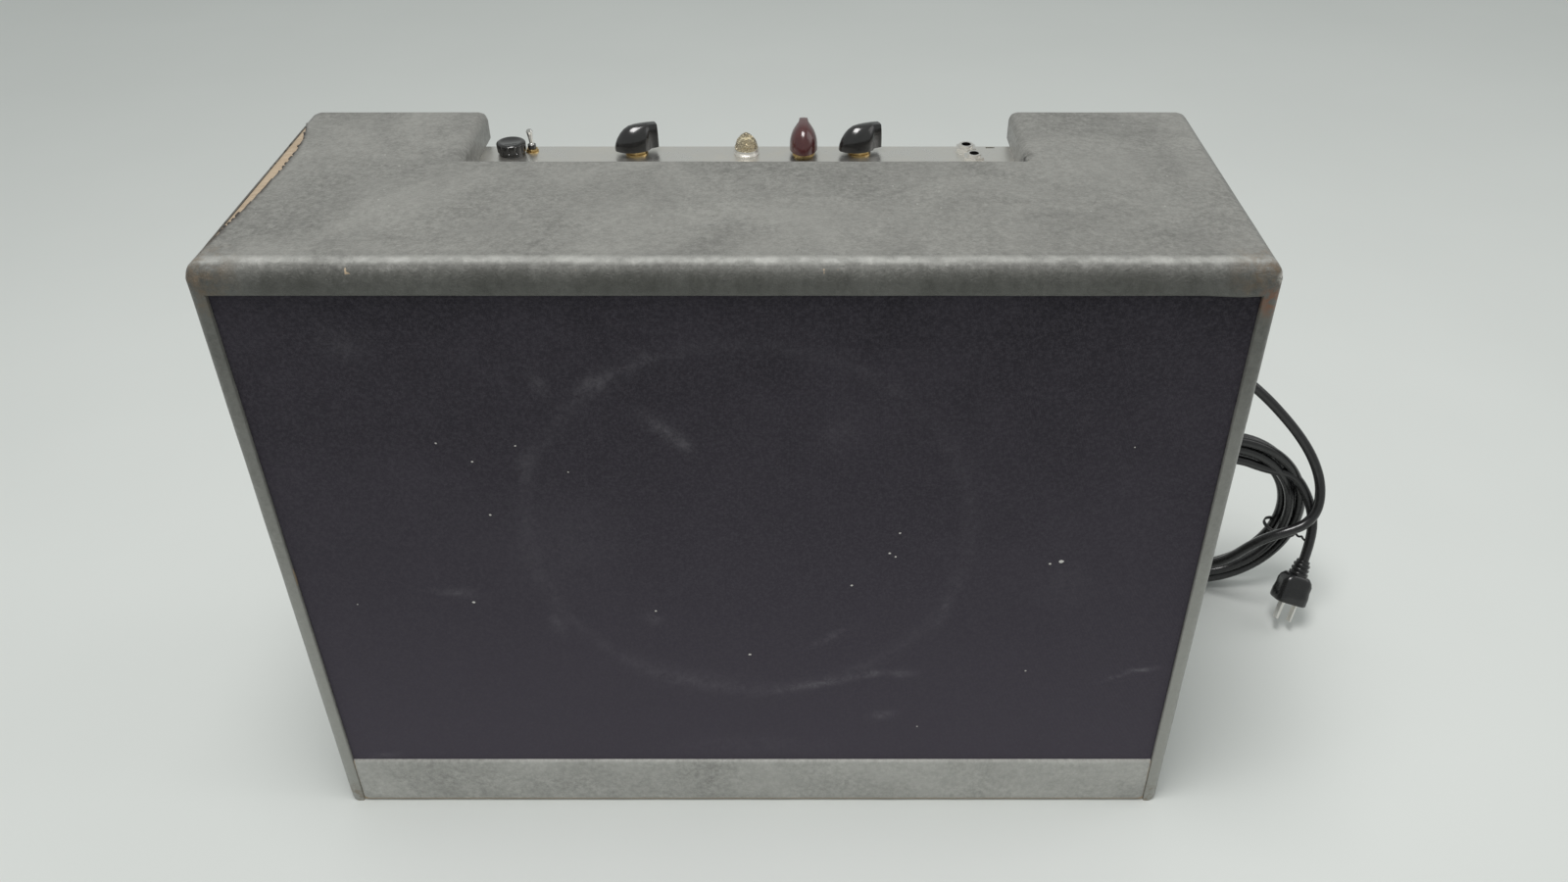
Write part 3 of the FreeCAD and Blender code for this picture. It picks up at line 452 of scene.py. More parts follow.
def moulded_paint(name, colour, rough, fleck=None, coat=0.0, grain=900, depth=0.00008):
    """Moulded plastic or phenolic: faint flow marks, fine orange peel and rubbed dust."""
    p = Paint(name, colour, rough)
    p.set("Coat Weight", coat)
    p.set("Coat Roughness", 0.12)
    flow = p.range(p.noise(70, 4, 0.6, warp=1.5), 0.35, 0.7)
    p.set("Base Color", p.mix(p.both(flow, 0.5), colour, fleck or tuple(c * 1.5 + 0.004 for c in colour)))
    p.set("Roughness", p.range(p.noise(180, 4, 0.6), 0.3, 0.75, rough * 0.8, min(1.0, rough * 1.35)))
    p.bump(p.noise(grain, 2, 0.5), depth, 0.5)
    return p.material


def glass_paint(name, colour, tint, rough=0.03):
    """Clear glass, slightly uneven."""
    p = Paint(name, colour, rough)
    p.set("Transmission Weight", 1.0)
    p.set("IOR", 1.47)
    p.set("Base Color", p.mix(p.range(p.noise(60, 3, 0.5), 0.35, 0.7), colour, tint))
    p.set("Roughness", p.range(p.noise(140, 3, 0.6), 0.3, 0.8, rough * 0.5, rough * 2.5))
    p.bump(p.noise(90, 2, 0.5), 0.0002, 0.2)
    return p.material


def cone_paint():
    """Grey-brown pressed paper with pressed rings and fibres."""
    p = Paint("cone_paper", (0.045, 0.04, 0.035), 0.85)
    flat = p.node("ShaderNodeVectorMath", {0: p.place, 1: (1, 0, 1)}, operation="MULTIPLY").outputs[0]
    middle = tuple(at_mm(SPEAKER_X, 0, SPEAKER_Z))
    radius = p.node("ShaderNodeVectorMath", {0: flat, 1: middle}, operation="DISTANCE").outputs["Value"]
    rings = p.sum("SINE", p.both(radius, 900.0), 0.0)
    fibres = p.noise(300, 5, 0.75)
    p.set("Base Color", p.mix(p.range(fibres, 0.35, 0.7), (0.035, 0.031, 0.027), (0.085, 0.074, 0.06)))
    p.bump(rings, 0.0006, 0.5)
    p.bump(fibres, 0.0003, 0.6)
    return p.material


def stacked_paint(name, colour, rough):
    """A transformer's stacked laminations under paint: fine lines along X and Z, dust on the paint."""
    p = Paint(name, colour, rough)
    lines = p.waves(900, "Y", 0.3)
    dust = p.range(p.noise(45, 5, 0.7), 0.45, 0.75, 0.0, 0.45)
    p.set("Base Color", p.mix(dust, colour, (0.07, 0.065, 0.058)))
    p.set("Roughness", p.range(p.noise(90, 4, 0.6), 0.3, 0.7, rough * 0.8, rough * 1.2))
    p.bump(lines, 0.0002, 0.4)
    p.bump(p.noise(350, 3, 0.6), 0.0002, 0.35)
    return p.material


def banded_paint(name, colour, band, along, scale):
    """A small electronic part with coloured rings round it."""
    p = Paint(name, colour, 0.45)
    bands = p.range(p.waves(scale, along), 0.82, 0.86)
    stain = p.range(p.noise(90, 4, 0.6), 0.4, 0.75, 0.0, 0.4)
    p.set("Base Color", p.mix(stain, p.mix(bands, colour, band), shade(colour, 0.55)))
    p.bump(p.noise(400, 3, 0.6), 0.0001, 0.5)
    return p.material


def woven_paint(name, colour, scale):
    """Stiffened cloth, as on a speaker's spider."""
    p = Paint(name, colour, 0.8)
    threads = p.both(p.waves(scale, "X", 0.3), p.waves(scale, "Z", 0.3))
    p.set("Base Color", p.mix(p.range(threads, 0.0, 0.7), shade(colour, 0.5), colour))
    p.bump(threads, 0.0003, 0.7)
    return p.material


def floor_paint():
    """A plain pale floor, very slightly uneven."""
    p = Paint("floor", (0.74, 0.765, 0.745), 0.55)
    tone = p.range(p.noise(3, 3, 0.5), 0.3, 0.7)
    p.set("Base Color", p.mix(tone, (0.73, 0.755, 0.735), (0.75, 0.775, 0.755)))
    p.bump(p.noise(120, 2, 0.5), 0.0001, 0.2)
    return p.material


def all_paints():
    """Every material by its name."""
    grey_dark, grey_light = (0.119, 0.118, 0.108), (0.23, 0.228, 0.212)
    # painted light: the rail's covering is the same vinyl as the rest, painted lighter for the light thrown
    # up onto the rail from the floor
    rail_dark_brightened, rail_light_brightened = (0.25, 0.247, 0.23), (0.45, 0.445, 0.42)
    metals = {  # colour, roughness, scratches, their stretch, tarnish
        "screw_steel": ((0.55, 0.54, 0.52), 0.35),
        "panel_steel": ((0.9, 0.885, 0.85), 0.3, 0.15, (1, 14, 14), (0.72, 0.68, 0.6)),
        "nickel": ((0.9, 0.88, 0.84), 0.3),
        "brass": ((0.68, 0.5, 0.24), 0.26, 0.3, (1, 12, 12), (0.4, 0.27, 0.11)),
        "switch_metal": ((0.74, 0.73, 0.7), 0.14),
        "frame_grey": ((0.36, 0.37, 0.36), 0.42),
        "coil_former": ((0.6, 0.36, 0.2), 0.35),
        "yoke_steel": ((0.5, 0.48, 0.42), 0.38),
        "electrode": ((0.2, 0.2, 0.2), 0.5),
        "getter": ((0.75, 0.74, 0.72), 0.08),
    }
    moulded = {  # colour, roughness, flecks, varnish, how fine the grain is, its depth
        "black_phenolic": ((0.011, 0.0105, 0.0105), 0.2, None, 0.6),
        "maroon_phenolic": ((0.058, 0.013, 0.014), 0.22, (0.1, 0.03, 0.028), 0.6),
        "board_fibre": ((0.045, 0.042, 0.038), 0.6, (0.09, 0.08, 0.07), 0.0, 500),
        "socket_brown": ((0.075, 0.035, 0.018), 0.4, (0.12, 0.06, 0.03)),
        "magnet": ((0.05, 0.05, 0.052), 0.55, (0.09, 0.09, 0.09), 0.0, 600, 0.0002),
        "lead_wire": ((0.045, 0.05, 0.052), 0.4),
        "cord_black": ((0.0085, 0.0085, 0.009), 0.24, (0.02, 0.02, 0.021), 0.3, 500),
        "tie_wire": ((0.012, 0.012, 0.012), 0.4),
        "valve_base": ((0.02, 0.014, 0.011), 0.35),
        "lint": ((0.62, 0.6, 0.58), 0.9, (0.75, 0.73, 0.7), 0.0, 2500, 0.0003),
    }
    glasses = {  # colour, tint, roughness
        "jewel_glass": ((0.98, 0.9, 0.72), (0.93, 0.72, 0.4)),
        "fuse_glass": ((0.9, 0.94, 0.92), (0.8, 0.85, 0.82)),
        "valve_glass": ((0.97, 0.98, 0.97), (0.9, 0.91, 0.88), 0.02),
    }
    banded = {  # colour, bands, the way they follow each other, how many
        "capacitor_yellow": ((0.55, 0.3, 0.04), (0.12, 0.05, 0.02), "Y", 14),
        "resistor_brown": ((0.16, 0.075, 0.035), (0.5, 0.32, 0.03), "Y", 160),
        "capacitor_silver": ((0.5, 0.48, 0.43), (0.06, 0.06, 0.06), "Y", 12),
    }
    made = {
        "covering": covering_paint("covering", grey_dark, grey_light),
        # painted light: the lighter copy of the covering's paint, for the rail
        "rail_covering": covering_paint("rail_covering", rail_dark_brightened, rail_light_brightened, True),
        "grille_cloth": cloth_paint(),
        "plywood": plywood_paint(),
        "upright_plywood": plywood_paint("upright_plywood", grain=(22, 22, 2)),
        "transformer_black": stacked_paint("transformer_black", (0.022, 0.021, 0.02), 0.42),
        "cone_paper": cone_paint(),
        "spider_cloth": woven_paint("spider_cloth", (0.42, 0.24, 0.09), 420),
    }
    tables = ((metal_paint, metals), (moulded_paint, moulded), (glass_paint, glasses), (banded_paint, banded))
    for recipe, table in tables:
        made.update({name: recipe(name, *values) for name, values in table.items()})
    return made


# Camera, light and floor

def camera():
    """The photograph's place and angle."""
    data = bpy.data.cameras.new("camera")
    data.lens = 29.09
    data.sensor_width = 36
    data.shift_x = -0.0147
    eye = bpy.data.objects.new("camera", data)
    eye.location = (0.0405, -0.7356, 0.7843)
    eye.rotation_euler = (math.radians(54.19), 0, 0)
    bpy.context.scene.collection.objects.link(eye)
    bpy.context.scene.camera = eye


def soft_light(name, place, target, size, power, colour=(1, 1, 1)):
    data = bpy.data.lights.new(name, "AREA")
    data.shape = "RECTANGLE"
    data.size, data.size_y = size
    data.energy = power
    data.color = colour
    lamp = bpy.data.objects.new(name, data)
    lamp.location = place
    lamp.rotation_euler = (Vector(target) - Vector(place)).to_track_quat("-Z", "Y").to_euler()
    bpy.context.scene.collection.objects.link(lamp)


def studio():
    """A pale floor under soft light from above."""
    mesh = bpy.data.meshes.new("floor")
    half = 12.0
    corners = [(-half, -half, 0), (half, -half, 0), (half, half, 0), (-half, half, 0)]
    mesh.from_pydata(corners, [], [(0, 1, 2, 3)])
    mesh.materials.append(floor_paint())
    floor = bpy.data.objects.new("floor", mesh)
    bpy.context.scene.collection.objects.link(floor)
    world = bpy.data.worlds.new("world")
    bpy.context.scene.world = world
    world.use_nodes = True
    sky = world.node_tree.nodes["Background"]
    sky.inputs["Color"].default_value = (0.93, 0.97, 0.95, 1)
    sky.inputs["Strength"].default_value = 0.45
    soft_light("ceiling", (-0.15, -0.3, 2.3), (0, -0.05, 0.3), (0.8, 0.8), 28, (1, 0.985, 0.975))
    soft_light("right", (2.2, 0.2, 1.7), (0.4, 0, 0.1), (1.6, 1.6), 8, (1, 0.985, 0.975))
    bpy.context.scene.view_settings.view_transform = "Standard"


# Mains cord

def coil_points():
    """Control points of the coil's turns: out along the back, over the outside, and in along the front."""
    points = []
    angle = COIL_START
    inner, outer = -0.0086, 0.0084
    back, front = 0.0062, -0.0062
    spread = 1 / math.cos(math.radians(COIL_STEP) / 2)
    while angle > COIL_END:
        turn = (COIL_START - angle) / 360
        outward = ramp(turn, 0.0, 2.05)
        inward = ramp(turn, 2.3, 4.4)
        radial = inner + (outer - inner) * (outward - 0.92 * inward)
        deep = back + (front - back) * ramp(turn, 2.0, 2.35)
        deep -= 0.005 * (1 - ramp(turn, 0.0, 0.12))
        loose = 0.5 + 0.5 * math.cos(math.radians(angle - 100))
        radial *= 1 + 0.3 * loose
        wander = 0.0011 * math.sin(1.7 * math.radians(angle) + turn)
        radius = (COIL_RADIUS + radial + wander * loose) * spread
        a = math.radians(angle)
        points.append(COIL_CENTRE + Vector((radius * math.cos(a), deep, radius * math.sin(a))))
        angle -= COIL_STEP
    return points


def ramp(value, start, end):
    """0 up to the start, 1 from the end, and a straight line between."""
    return min(1.0, max(0.0, (value - start) / (end - start)))


def mains_cord():
    points = [Vector(p) for p in LEAD_ROUTE] + coil_points() + [Vector(p) for p in TAIL_ROUTE]
    cord = round_line("mains_cord", points, CORD_DIAMETER / 2, 6, 3)
    cord.data.materials.append(PAINTS["cord_black"])
    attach(cord, "root")
    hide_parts("cord_lead", "cord_coil", "cord_tail")


def strain_relief():
    """A tapered sleeve with cut rings where the cord leaves the chassis."""
    low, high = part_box("strain_relief")
    middle = centre_of("strain_relief")
    profile = [(0, 0), (5.2, 0), (5.4, 0.8)]
    for i in range(5):
        z = 3.0 + 5.2 * i
        r = 5.4 + 0.52 * i
        profile += [(r, z), (r - 1.0, z + 0.5), (r - 1.0, z + 1.6), (r + 0.25, z + 2.1)]
    profile += [(8.2, 30.5), (8.2, 31.9), (6.9, 31.9), (6.9, 38.5), (0, 38.5)]
    points, faces = lathe(profile, 32)
    points = moved(points, (middle.x, middle.y, low.z))
    return mesh_object("cord_relief", points, faces, "cord_black", replaces=["strain_relief"])


def plug():
    """A moulded plug: a soft-edged block with a waist, and a ribbed neck."""
    pins, body_long, neck_long = 18.5, 25.0, 14.0
    tip = PLUG_NECK - PLUG_WAY * (pins + body_long + neck_long) * MM
    stations = [  # height, half width, half depth
        (0.0, 13.2, 10.2), (1.2, 14.0, 11.0), (8.0, 14.0, 11.0), (13.0, 13.3, 10.2), (18.0, 13.4, 10.2),
        (21.5, 12.0, 9.6), (24.4, 9.4, 8.4), (25.0, 8.4, 7.8),
    ]
    points = []
    sides = 32
    for z, wide, deep in stations:
        for k in range(sides):
            a = 2 * math.pi * k / sides
            ring = (abs(math.cos(a)) ** 5 + abs(math.sin(a)) ** 5) ** -0.2
            points.append(Vector((wide * ring * math.cos(a), deep * ring * math.sin(a), pins + z)))
    faces = tube_faces(len(stations), sides)
    profile = [(0, -0.5), (7.6, -0.5)]
    for i in range(3):
        z, r = 0.8 + 3.8 * i, 7.9 - 0.5 * i
        profile += [(r, z), (r + 0.2, z + 1.4), (r - 0.2, z + 2.2), (r - 1.3, z + 2.5), (r - 1.3, z + 3.2)]
    profile += [(5.8, 12.6), (5.4, 13.6), (4.6, 14.0), (0, 14.0)]
    neck_points, neck_faces = lathe(profile, 32)
    neck_points = [p + Vector((0, 0, pins + body_long)) for p in neck_points]
    points, faces = merged([(points, faces), (neck_points, neck_faces)])
    points = moved(points, tip, PLUG_WAY)
    return mesh_object("plug", points, faces, "cord_black", replaces=["plug_body"])


def wire_tie():
    """A thin wire wound twice round the bundle, its ends twisted together in front."""
    low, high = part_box("coil_tie")
    middle = (low + high) / 2
    out = (middle - COIL_CENTRE).normalized()
    out.y = 0
    out.normalize()
    along = Vector((-out.z, 0, out.x))
    at = COIL_CENTRE + out * COIL_RADIUS
    turns, ends = [], []
    for k in range(33):
        a = 2 * math.pi * k / 16
        wide = 0.0148 * math.cos(a)
        deep = 0.0127 * math.sin(a)
        turns.append(at + out * wide + Vector((0, deep, 0)) + along * (0.0018 * (k / 16 - 1)))
    for k in range(14):
        a = 1.4 * k
        twist = (along * math.cos(a) + Vector((0, 1, 0)) * math.sin(a)) * 0.0009
        ends.append(at + out * (0.0135 + 0.0011 * k) + Vector((0, -0.0045 - 0.0008 * k, 0)) + twist)
    points, faces = merged([wire(turns, 0.0008), wire(ends, 0.0010)])
    return mesh_object("wire_tie", points, faces, "tie_wire", replaces=["coil_tie"])


# Covering

def wrap_cage():
    """The covering's outside as flat faces, with the radius that each edge is rounded to."""
    spots = {
        "front_strip_foot": (SIDE, FRONT, 0), "front_top": (SIDE, FRONT, TOP),
        "inner_top": (GRILLE_SIDE, FRONT, UNDER_TOP), "inner_foot": (GRILLE_SIDE, FRONT, 0),
        "set_top": (GRILLE_SIDE, RECESS_Y, UNDER_TOP), "set_foot": (GRILLE_SIDE, RECESS_Y, 0),
        "mid_top": (SIDE, NOTCH_FRONT, TOP), "rear_top": (SIDE, REAR, TOP), "rear_foot": (SIDE, REAR, 0),
        "rear_inner_top": (INNER_SIDE, REAR, UNDER_TOP), "rear_inner_foot": (INNER_SIDE, REAR, 0),
        "step_out": (GRILLE_SIDE, BAFFLE_BACK, 0), "step_in": (INNER_SIDE, BAFFLE_BACK, 0),
        "notch_rear": (NOTCH_RIGHT, REAR, TOP), "notch_front": (NOTCH_RIGHT, NOTCH_FRONT, TOP),
        "notch_rear_low": (NOTCH_RIGHT, REAR, UNDER_TOP),
        "notch_front_low": (NOTCH_RIGHT, NOTCH_FRONT, UNDER_TOP),
    }
    points, where = [], {}
    for side in ("R", "L"):
        for name, (x, y, z) in spots.items():
            if side == "L":
                x = NOTCH_LEFT if "notch" in name else -x
            where[side + name] = len(points)
            points.append(at_mm(x, y, z))
    per_side = [
        ("front_top", "inner_top", "inner_foot", "front_strip_foot"),
        ("inner_top", "set_top", "set_foot", "inner_foot"),
        ("front_strip_foot", "front_top", "mid_top", "rear_top", "rear_foot"),
        ("rear_top", "rear_inner_top", "rear_inner_foot", "rear_foot"),
        ("rear_top", "notch_rear", "notch_rear_low", "rear_inner_top"),
        ("mid_top", "notch_front", "notch_rear", "rear_top"),
        ("notch_rear", "notch_front", "notch_front_low", "notch_rear_low"),
        ("front_strip_foot", "inner_foot", "set_foot", "step_out", "step_in", "rear_inner_foot", "rear_foot"),
    ]
    faces = [tuple(where[s + n] for n in face) for s in ("R", "L") for face in per_side]
    across = [
        ("Lfront_top", "Rfront_top", "Rinner_top", "Linner_top"),
        ("Linner_top", "Rinner_top", "Rset_top", "Lset_top"),
        ("Lfront_top", "Rfront_top", "Rmid_top", "Rnotch_front", "Lnotch_front", "Lmid_top"),
        ("Lnotch_front", "Rnotch_front", "Rnotch_front_low", "Lnotch_front_low"),
    ]
    faces += [tuple(where[n] for n in face) for face in across]
    rounds = {
        ("front_top", "mid_top"): 9, ("mid_top", "rear_top"): 9, ("rear_top", "notch_rear"): 6,
        ("front_strip_foot", "front_top"): 5, ("rear_top", "rear_foot"): 6,
        ("front_strip_foot", "rear_foot"): 9,
        ("notch_rear", "notch_front"): 6.4, ("notch_front", "notch_front_low"): 8,
        ("notch_rear", "notch_rear_low"): 4, ("inner_top", "inner_foot"): 1.2,
    }
    edges = {(where[s + a], where[s + b]): r for s in ("R", "L") for (a, b), r in rounds.items()}
    edges[where["Lfront_top"], where["Rfront_top"]] = 10
    edges[where["Lnotch_front"], where["Rnotch_front"]] = 4
    edges[where["Linner_top"], where["Rinner_top"]] = 1.2
    return points, faces, edges


def cut_into_cells(mesh, cuts):
    """Cuts the faces that pass a test at planes. Each cut: (axis, first, last, step, test), in mm."""
    work = bmesh.new()
    work.from_mesh(mesh)
    for axis, first, last, step, test in cuts:
        way = Vector([1.0 if i == axis else 0.0 for i in range(3)])
        faces = [f for f in work.faces if test(f.calc_center_median() / MM)]
        cells = list({*faces, *(e for f in faces for e in f.edges), *(v for f in faces for v in f.verts)})
        for k in range(int(round((last - first) / step)) + 1):
            level = way * (first + k * step) * MM
            cells = bmesh.ops.bisect_plane(work, geom=cells, dist=1e-6, plane_co=level, plane_no=way)["geom"]
    work.to_mesh(mesh)
    work.free()


def everywhere(point):
    return True


def front_edge(point):
    return point.y < -98 and point.z > 432


def tear_zone(point):
    return point.x < -276 and point.z > 440


def tear_outer(y):
    """The left edge of the bare wood along the top's left edge, as an x, at a y."""
    return between(y, [(TEAR_FRONT, -300.2), (-75, -301.2), (-45, -301.8), (66, -302.4), (TEAR_REAR, -303.2)])


def tear_inner(y):
    """The torn edge of the covering on the top."""
    return between(y, [(TEAR_FRONT, -299.9), (-77, -296.5), (-51, -294.5), (-19, -292.0), (19, -290.5),
                       (44, -291.0), (58, -292.5), (76, -296.0), (89, -300.0), (TEAR_REAR, -303.0)])


def between(value, pairs):
    """Straight lines between (at, value) pairs."""
    if value <= pairs[0][0]:
        return pairs[0][1]
    for (a, va), (b, vb) in zip(pairs, pairs[1:]):
        if value <= b:
            return va + (vb - va) * (value - a) / (b - a)
    return pairs[-1][1]


def rough_noise(point, size):
    """Smooth noise of about -1 to 1 with features of a size in millimetres."""
    return noise.noise(Vector(point) / size)


def crumple(point):
    """How far the covering stands off its flat at a point, in millimetres."""
    away = 0.12 + 0.14 * rough_noise(point, 45) + 0.06 * rough_noise(point, 12)
    edge = max(0.0, 1 - math.hypot(point.y - FRONT, point.z - TOP) / 17)
    if edge > 0:
        along = point.x + 0.9 * (point.z - TOP) - 0.9 * (point.y - FRONT) + 3 * rough_noise(point, 25)
        ridge = 1 - abs(rough_noise((along, 0, 7), 8.0)) * 2.6
        patch = 0.35 + 0.65 * max(0.0, min(1.0, 1.2 - abs(point.x + 155) / 150))
        away += min(1.0, edge * 1.4) * patch * (0.95 * ridge - 0.15)
    lift = max(0.0, 1 - math.hypot((point.x - 283) / 20, (point.z - UNDER_TOP) / 5))
    if point.y < FRONT + 1:
        away += 0.9 * lift
    return max(away, -0.25)


def push_out(mesh, amount):
    """Moves each point along its normal by the millimetres that a function gives for its place."""
    normals = [v.normal.copy() for v in mesh.vertices]
    for v, normal in zip(mesh.vertices, normals):
        v.co += normal * (amount(v.co / MM) * MM)


def tear_covering(mesh):
    """Opens the tear along the top's left edge, and lifts and curls the covering beside it."""
    work = bmesh.new()
    work.from_mesh(mesh)
    mark = work.verts.layers.float.new("torn")
    for v in work.verts:
        p = v.co / MM
        if tear_zone(p) and TEAR_FRONT < p.y < TEAR_REAR:
            ragged = 0.5 * rough_noise((0, p.y, 3), 5)
            inner, outer = tear_inner(p.y) + ragged, tear_outer(p.y) + 0.6 * ragged
            open_wide = min(1.0, (inner - outer) / 4)
            if abs(p.x - inner) < 0.9 and open_wide > 0.1:
                v.co.x = inner * MM
            if p.x > inner - 1:
                close = max(0.0, 1 - (p.x - inner) / 7)
                v.co.z += (1.1 + 0.5 * rough_noise(p, 14)) * MM * close ** 2 * open_wide
                v[mark] = max(0.0, 1 - (p.x - inner) / 2.0) * open_wide
            elif p.x < outer + 1:
                v[mark] = 0.25 * max(0.0, 1 - (outer - p.x) / 1.2) * open_wide
    gone = []
    for f in work.faces:
        c = f.calc_center_median() / MM
        if tear_zone(c) and TEAR_FRONT < c.y < TEAR_REAR:
            ragged = 0.5 * rough_noise((0, c.y, 3), 5)
            if tear_outer(c.y) + 0.6 * ragged < c.x < tear_inner(c.y) + ragged:
                gone.append(f)
    bmesh.ops.delete(work, geom=gone, context="FACES")
    work.to_mesh(mesh)
    work.free()


def wrap_covering():
    """The covering of the top and sides: rounded, cut into cells, crumpled, torn and given its thickness."""
    points, faces, rounds = wrap_cage()
    piece = mesh_object("covering", points, faces, "covering", replaces=["wrap_covering"])
    widest = max(rounds.values())
    weights = piece.data.attributes.new("bevel_weight_edge", "FLOAT", "EDGE")
    for edge in piece.data.edges:
        a, b = edge.vertices
        radius = rounds.get((a, b)) or rounds.get((b, a)) or 0
        weights.data[edge.index].value = radius / widest
    changed(piece, "BEVEL", limit_method="WEIGHT", width=widest * MM, segments=7)
    cut_into_cells(piece.data, [
        (0, -300, 300, 5, everywhere), (1, -110, 110, 5, everywhere), (2, 5, 450, 5, everywhere),
        (0, -302.5, 302.5, 5, front_edge), (0, -304.25, -280.25, 1.5, tear_zone),
        (1, -112.5, 107.5, 5, tear_zone),
    ])
    push_out(piece.data, crumple)
    tear_covering(piece.data)
    changed(piece, "SOLIDIFY", thickness=COVER * MM, offset=-1, use_even_offset=False)
    finish_smooth(piece, 50)
    return piece


def rail_covering():
    """The covering of the bottom: up over the front rail and back to the cloth."""
    foot_bend, top_bend = 4.5, 1.8  # radii of the rail's two front edges
    under = (106, 60, 0, -60, BAFFLE_BACK + 0.1, BAFFLE_BACK - 0.1, FRONT + foot_bend)
    line = [(y, 0.0) for y in under]
    for a in (0.4, 0.8, 1.2, 1.57):
        line += [(FRONT + foot_bend - foot_bend * math.sin(a), foot_bend - foot_bend * math.cos(a))]
    line += [(FRONT, z) for z in range(8, 42, 3)]
    for a in (0, 0.5, 1.0, 1.57):
        line += [(FRONT + top_bend - top_bend * math.cos(a), RAIL_TOP - top_bend + top_bend * math.sin(a))]
    line += [(CLOTH_Y + 0.1, RAIL_TOP)]
    count = 160
    points = []
    for y, z in line:
        half = INNER_SIDE - 0.2 if y > BAFFLE_BACK else GRILLE_SIDE - 0.7
        for k in range(count + 1):
            x = half * (2 * k / count - 1)
            end = max(0.0, 1 - (half - abs(x)) / 1.6) if y < BAFFLE_BACK else 0
            stand = 0
            if y < FRONT + 1:
                stand = 0.22 * rough_noise((x, 0, z), 30) + 0.1 * rough_noise((x, 1, z), 9)
            points.append(at_mm(x, y - stand + 1.0 * end ** 2, max(z, 0.0)))
    faces = sheet_faces(len(line), count + 1)
    # painted light: the rail takes the lighter copy of the vinyl's paint
    piece = mesh_object("rail_covering", points, faces, "covering", replaces=["bottom_covering"],
                        paint="rail_covering")
    up = sum((p.normal.y for p in piece.data.polygons if p.center.y < (FRONT + 0.1) * MM), 0.0)
    changed(piece, "SOLIDIFY", thickness=COVER * MM, offset=-1 if up < 0 else 1)
    finish_smooth(piece, 50)
    return piece


def back_panel(node):
    """A covered back panel with soft edges."""
    low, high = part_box(node)
    points, faces = block(low.x, high.x, low.y, high.y, low.z, high.z)
    piece = mesh_object(node + "_cover", points, faces, "covering", replaces=[node])
    changed(piece, "BEVEL", width=0.0016, segments=3)
    cut_into_cells(piece.data, [(0, -280, 280, 8, everywhere), (2, 0, 440, 8, everywhere)])
    push_out(piece.data, lambda point: 0.15 * rough_noise(point, 35))
    finish_smooth(piece, 50)
    return piece


# Grille

def smear(x, z, at, length, width, turn, strength):
    """How much dust a rubbed streak leaves at a point, all in millimetres and degrees."""
    a = math.radians(turn)
    dx, dz = x - at[0], z - at[1]
    u = (dx * math.cos(a) + dz * math.sin(a)) / length
    v = (dz * math.cos(a) - dx * math.sin(a)) / width
    return strength * math.exp(-2 * (u * u + v * v))


SMEARS = [  # middle, length, width, turn, strength
    ((-118, 376), 5, 11, 20, 0.4), ((-86, 376), 20, 8, 35, 0.3), ((-56, 392), 12, 7, 40, 0.22),
    ((-45, 341), 22, 7, -42, 0.42), ((-34, 330), 5, 4, -30, 0.35), ((-133, 318), 6, 16, -12, 0.22),
    ((56, 169), 20, 4, 34, 0.35), ((50, 124), 42, 4, 14, 0.4), ((84, 134), 12, 4, 10, 0.55),
    ((108, 134), 12, 5, 0, 0.42), ((95, 92), 12, 5, 8, 0.5), ((256, 131), 14, 2.2, 24, 0.6),
    ((274, 138), 13, 2.2, 8, 0.75), ((132, 191), 5, 20, -18, 0.25), ((-192, 211), 16, 4, -8, 0.4),
    ((-62, 186), 8, 7, 0, 0.3), ((-273, 48), 16, 4, 8, 0.3), ((-128, 182), 7, 14, 10, 0.22),
    ((-229, 403), 20, 14, -30, 0.16), ((60, 340), 14, 20, -30, 0.1), ((210, 220), 26, 30, 20, 0.1),
    ((-40, 130), 60, 14, -14, 0.12), ((0, 60), 70, 12, 0, 0.1), ((-120, 250), 60, 50, 30, 0.08),
]
LINT = [  # x, z, size
    (-185, 333, 1.1), (-165, 319, 1.2), (-137, 331, 1.0), (-107, 311, 0.8), (-160, 277, 1.3),
    (-182, 202, 1.9), (-61, 194, 1.2), (1, 153, 1.7), (70, 217, 1.4), (100, 262, 1.2), (94, 245, 1.4),
    (98, 242, 1.2),
    (206, 238, 2.6), (199, 236, 1.5), (193, 137, 1.1), (120, 80, 1.2), (-260, 200, 0.8), (240, 330, 0.8),
]


def grille():
    """The cloth on its frame, slightly slack, with its dust painted on, and bits of lint."""
    low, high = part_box("grille_cloth")
    across, up = 220, 146
    points = []
    for j in range(up + 1):
        for i in range(across + 1):
            x = low.x + (high.x - low.x) * i / across
            z = low.z + (high.z - low.z) * j / up
            edge = min(x - low.x, high.x - x, z - low.z, high.z - z) / 0.02
            soft = min(1.0, edge) * 0.25 * MM * rough_noise((x / MM, 0, z / MM), 60)
            radius = math.hypot(x / MM - SPEAKER_X, z / MM - SPEAKER_Z)
            sunk = 0.35 * MM * min(1.0, max(0.0, (SPEAKER_RING - radius) / 10))
            points.append(Vector((x, low.y + 0.0002 + sunk + soft, z)))
    faces = sheet_faces(up + 1, across + 1)
    cloth = mesh_object("grille", points, faces, "grille_cloth", replaces=["grille_cloth"])
    changed(cloth, "SOLIDIFY", thickness=0.0004, offset=0)
    dust = cloth.data.attributes.new("dust", "FLOAT", "POINT")
    for v in cloth.data.vertices:
        x, z = v.co.x / MM, v.co.z / MM
        radius = math.hypot(x - SPEAKER_X, z - SPEAKER_Z)
        lower = 0.6 + 0.4 * max(0.0, (SPEAKER_Z - z) / SPEAKER_RING)
        ring = 0.13 * lower * math.exp(-((radius - SPEAKER_RING) / 5.0) ** 2)
        dust.data[v.index].value = ring + sum(smear(x, z, *s) for s in SMEARS)
    finish_smooth(cloth, 60)
    lint = lint_bits(low.y)
    return cloth


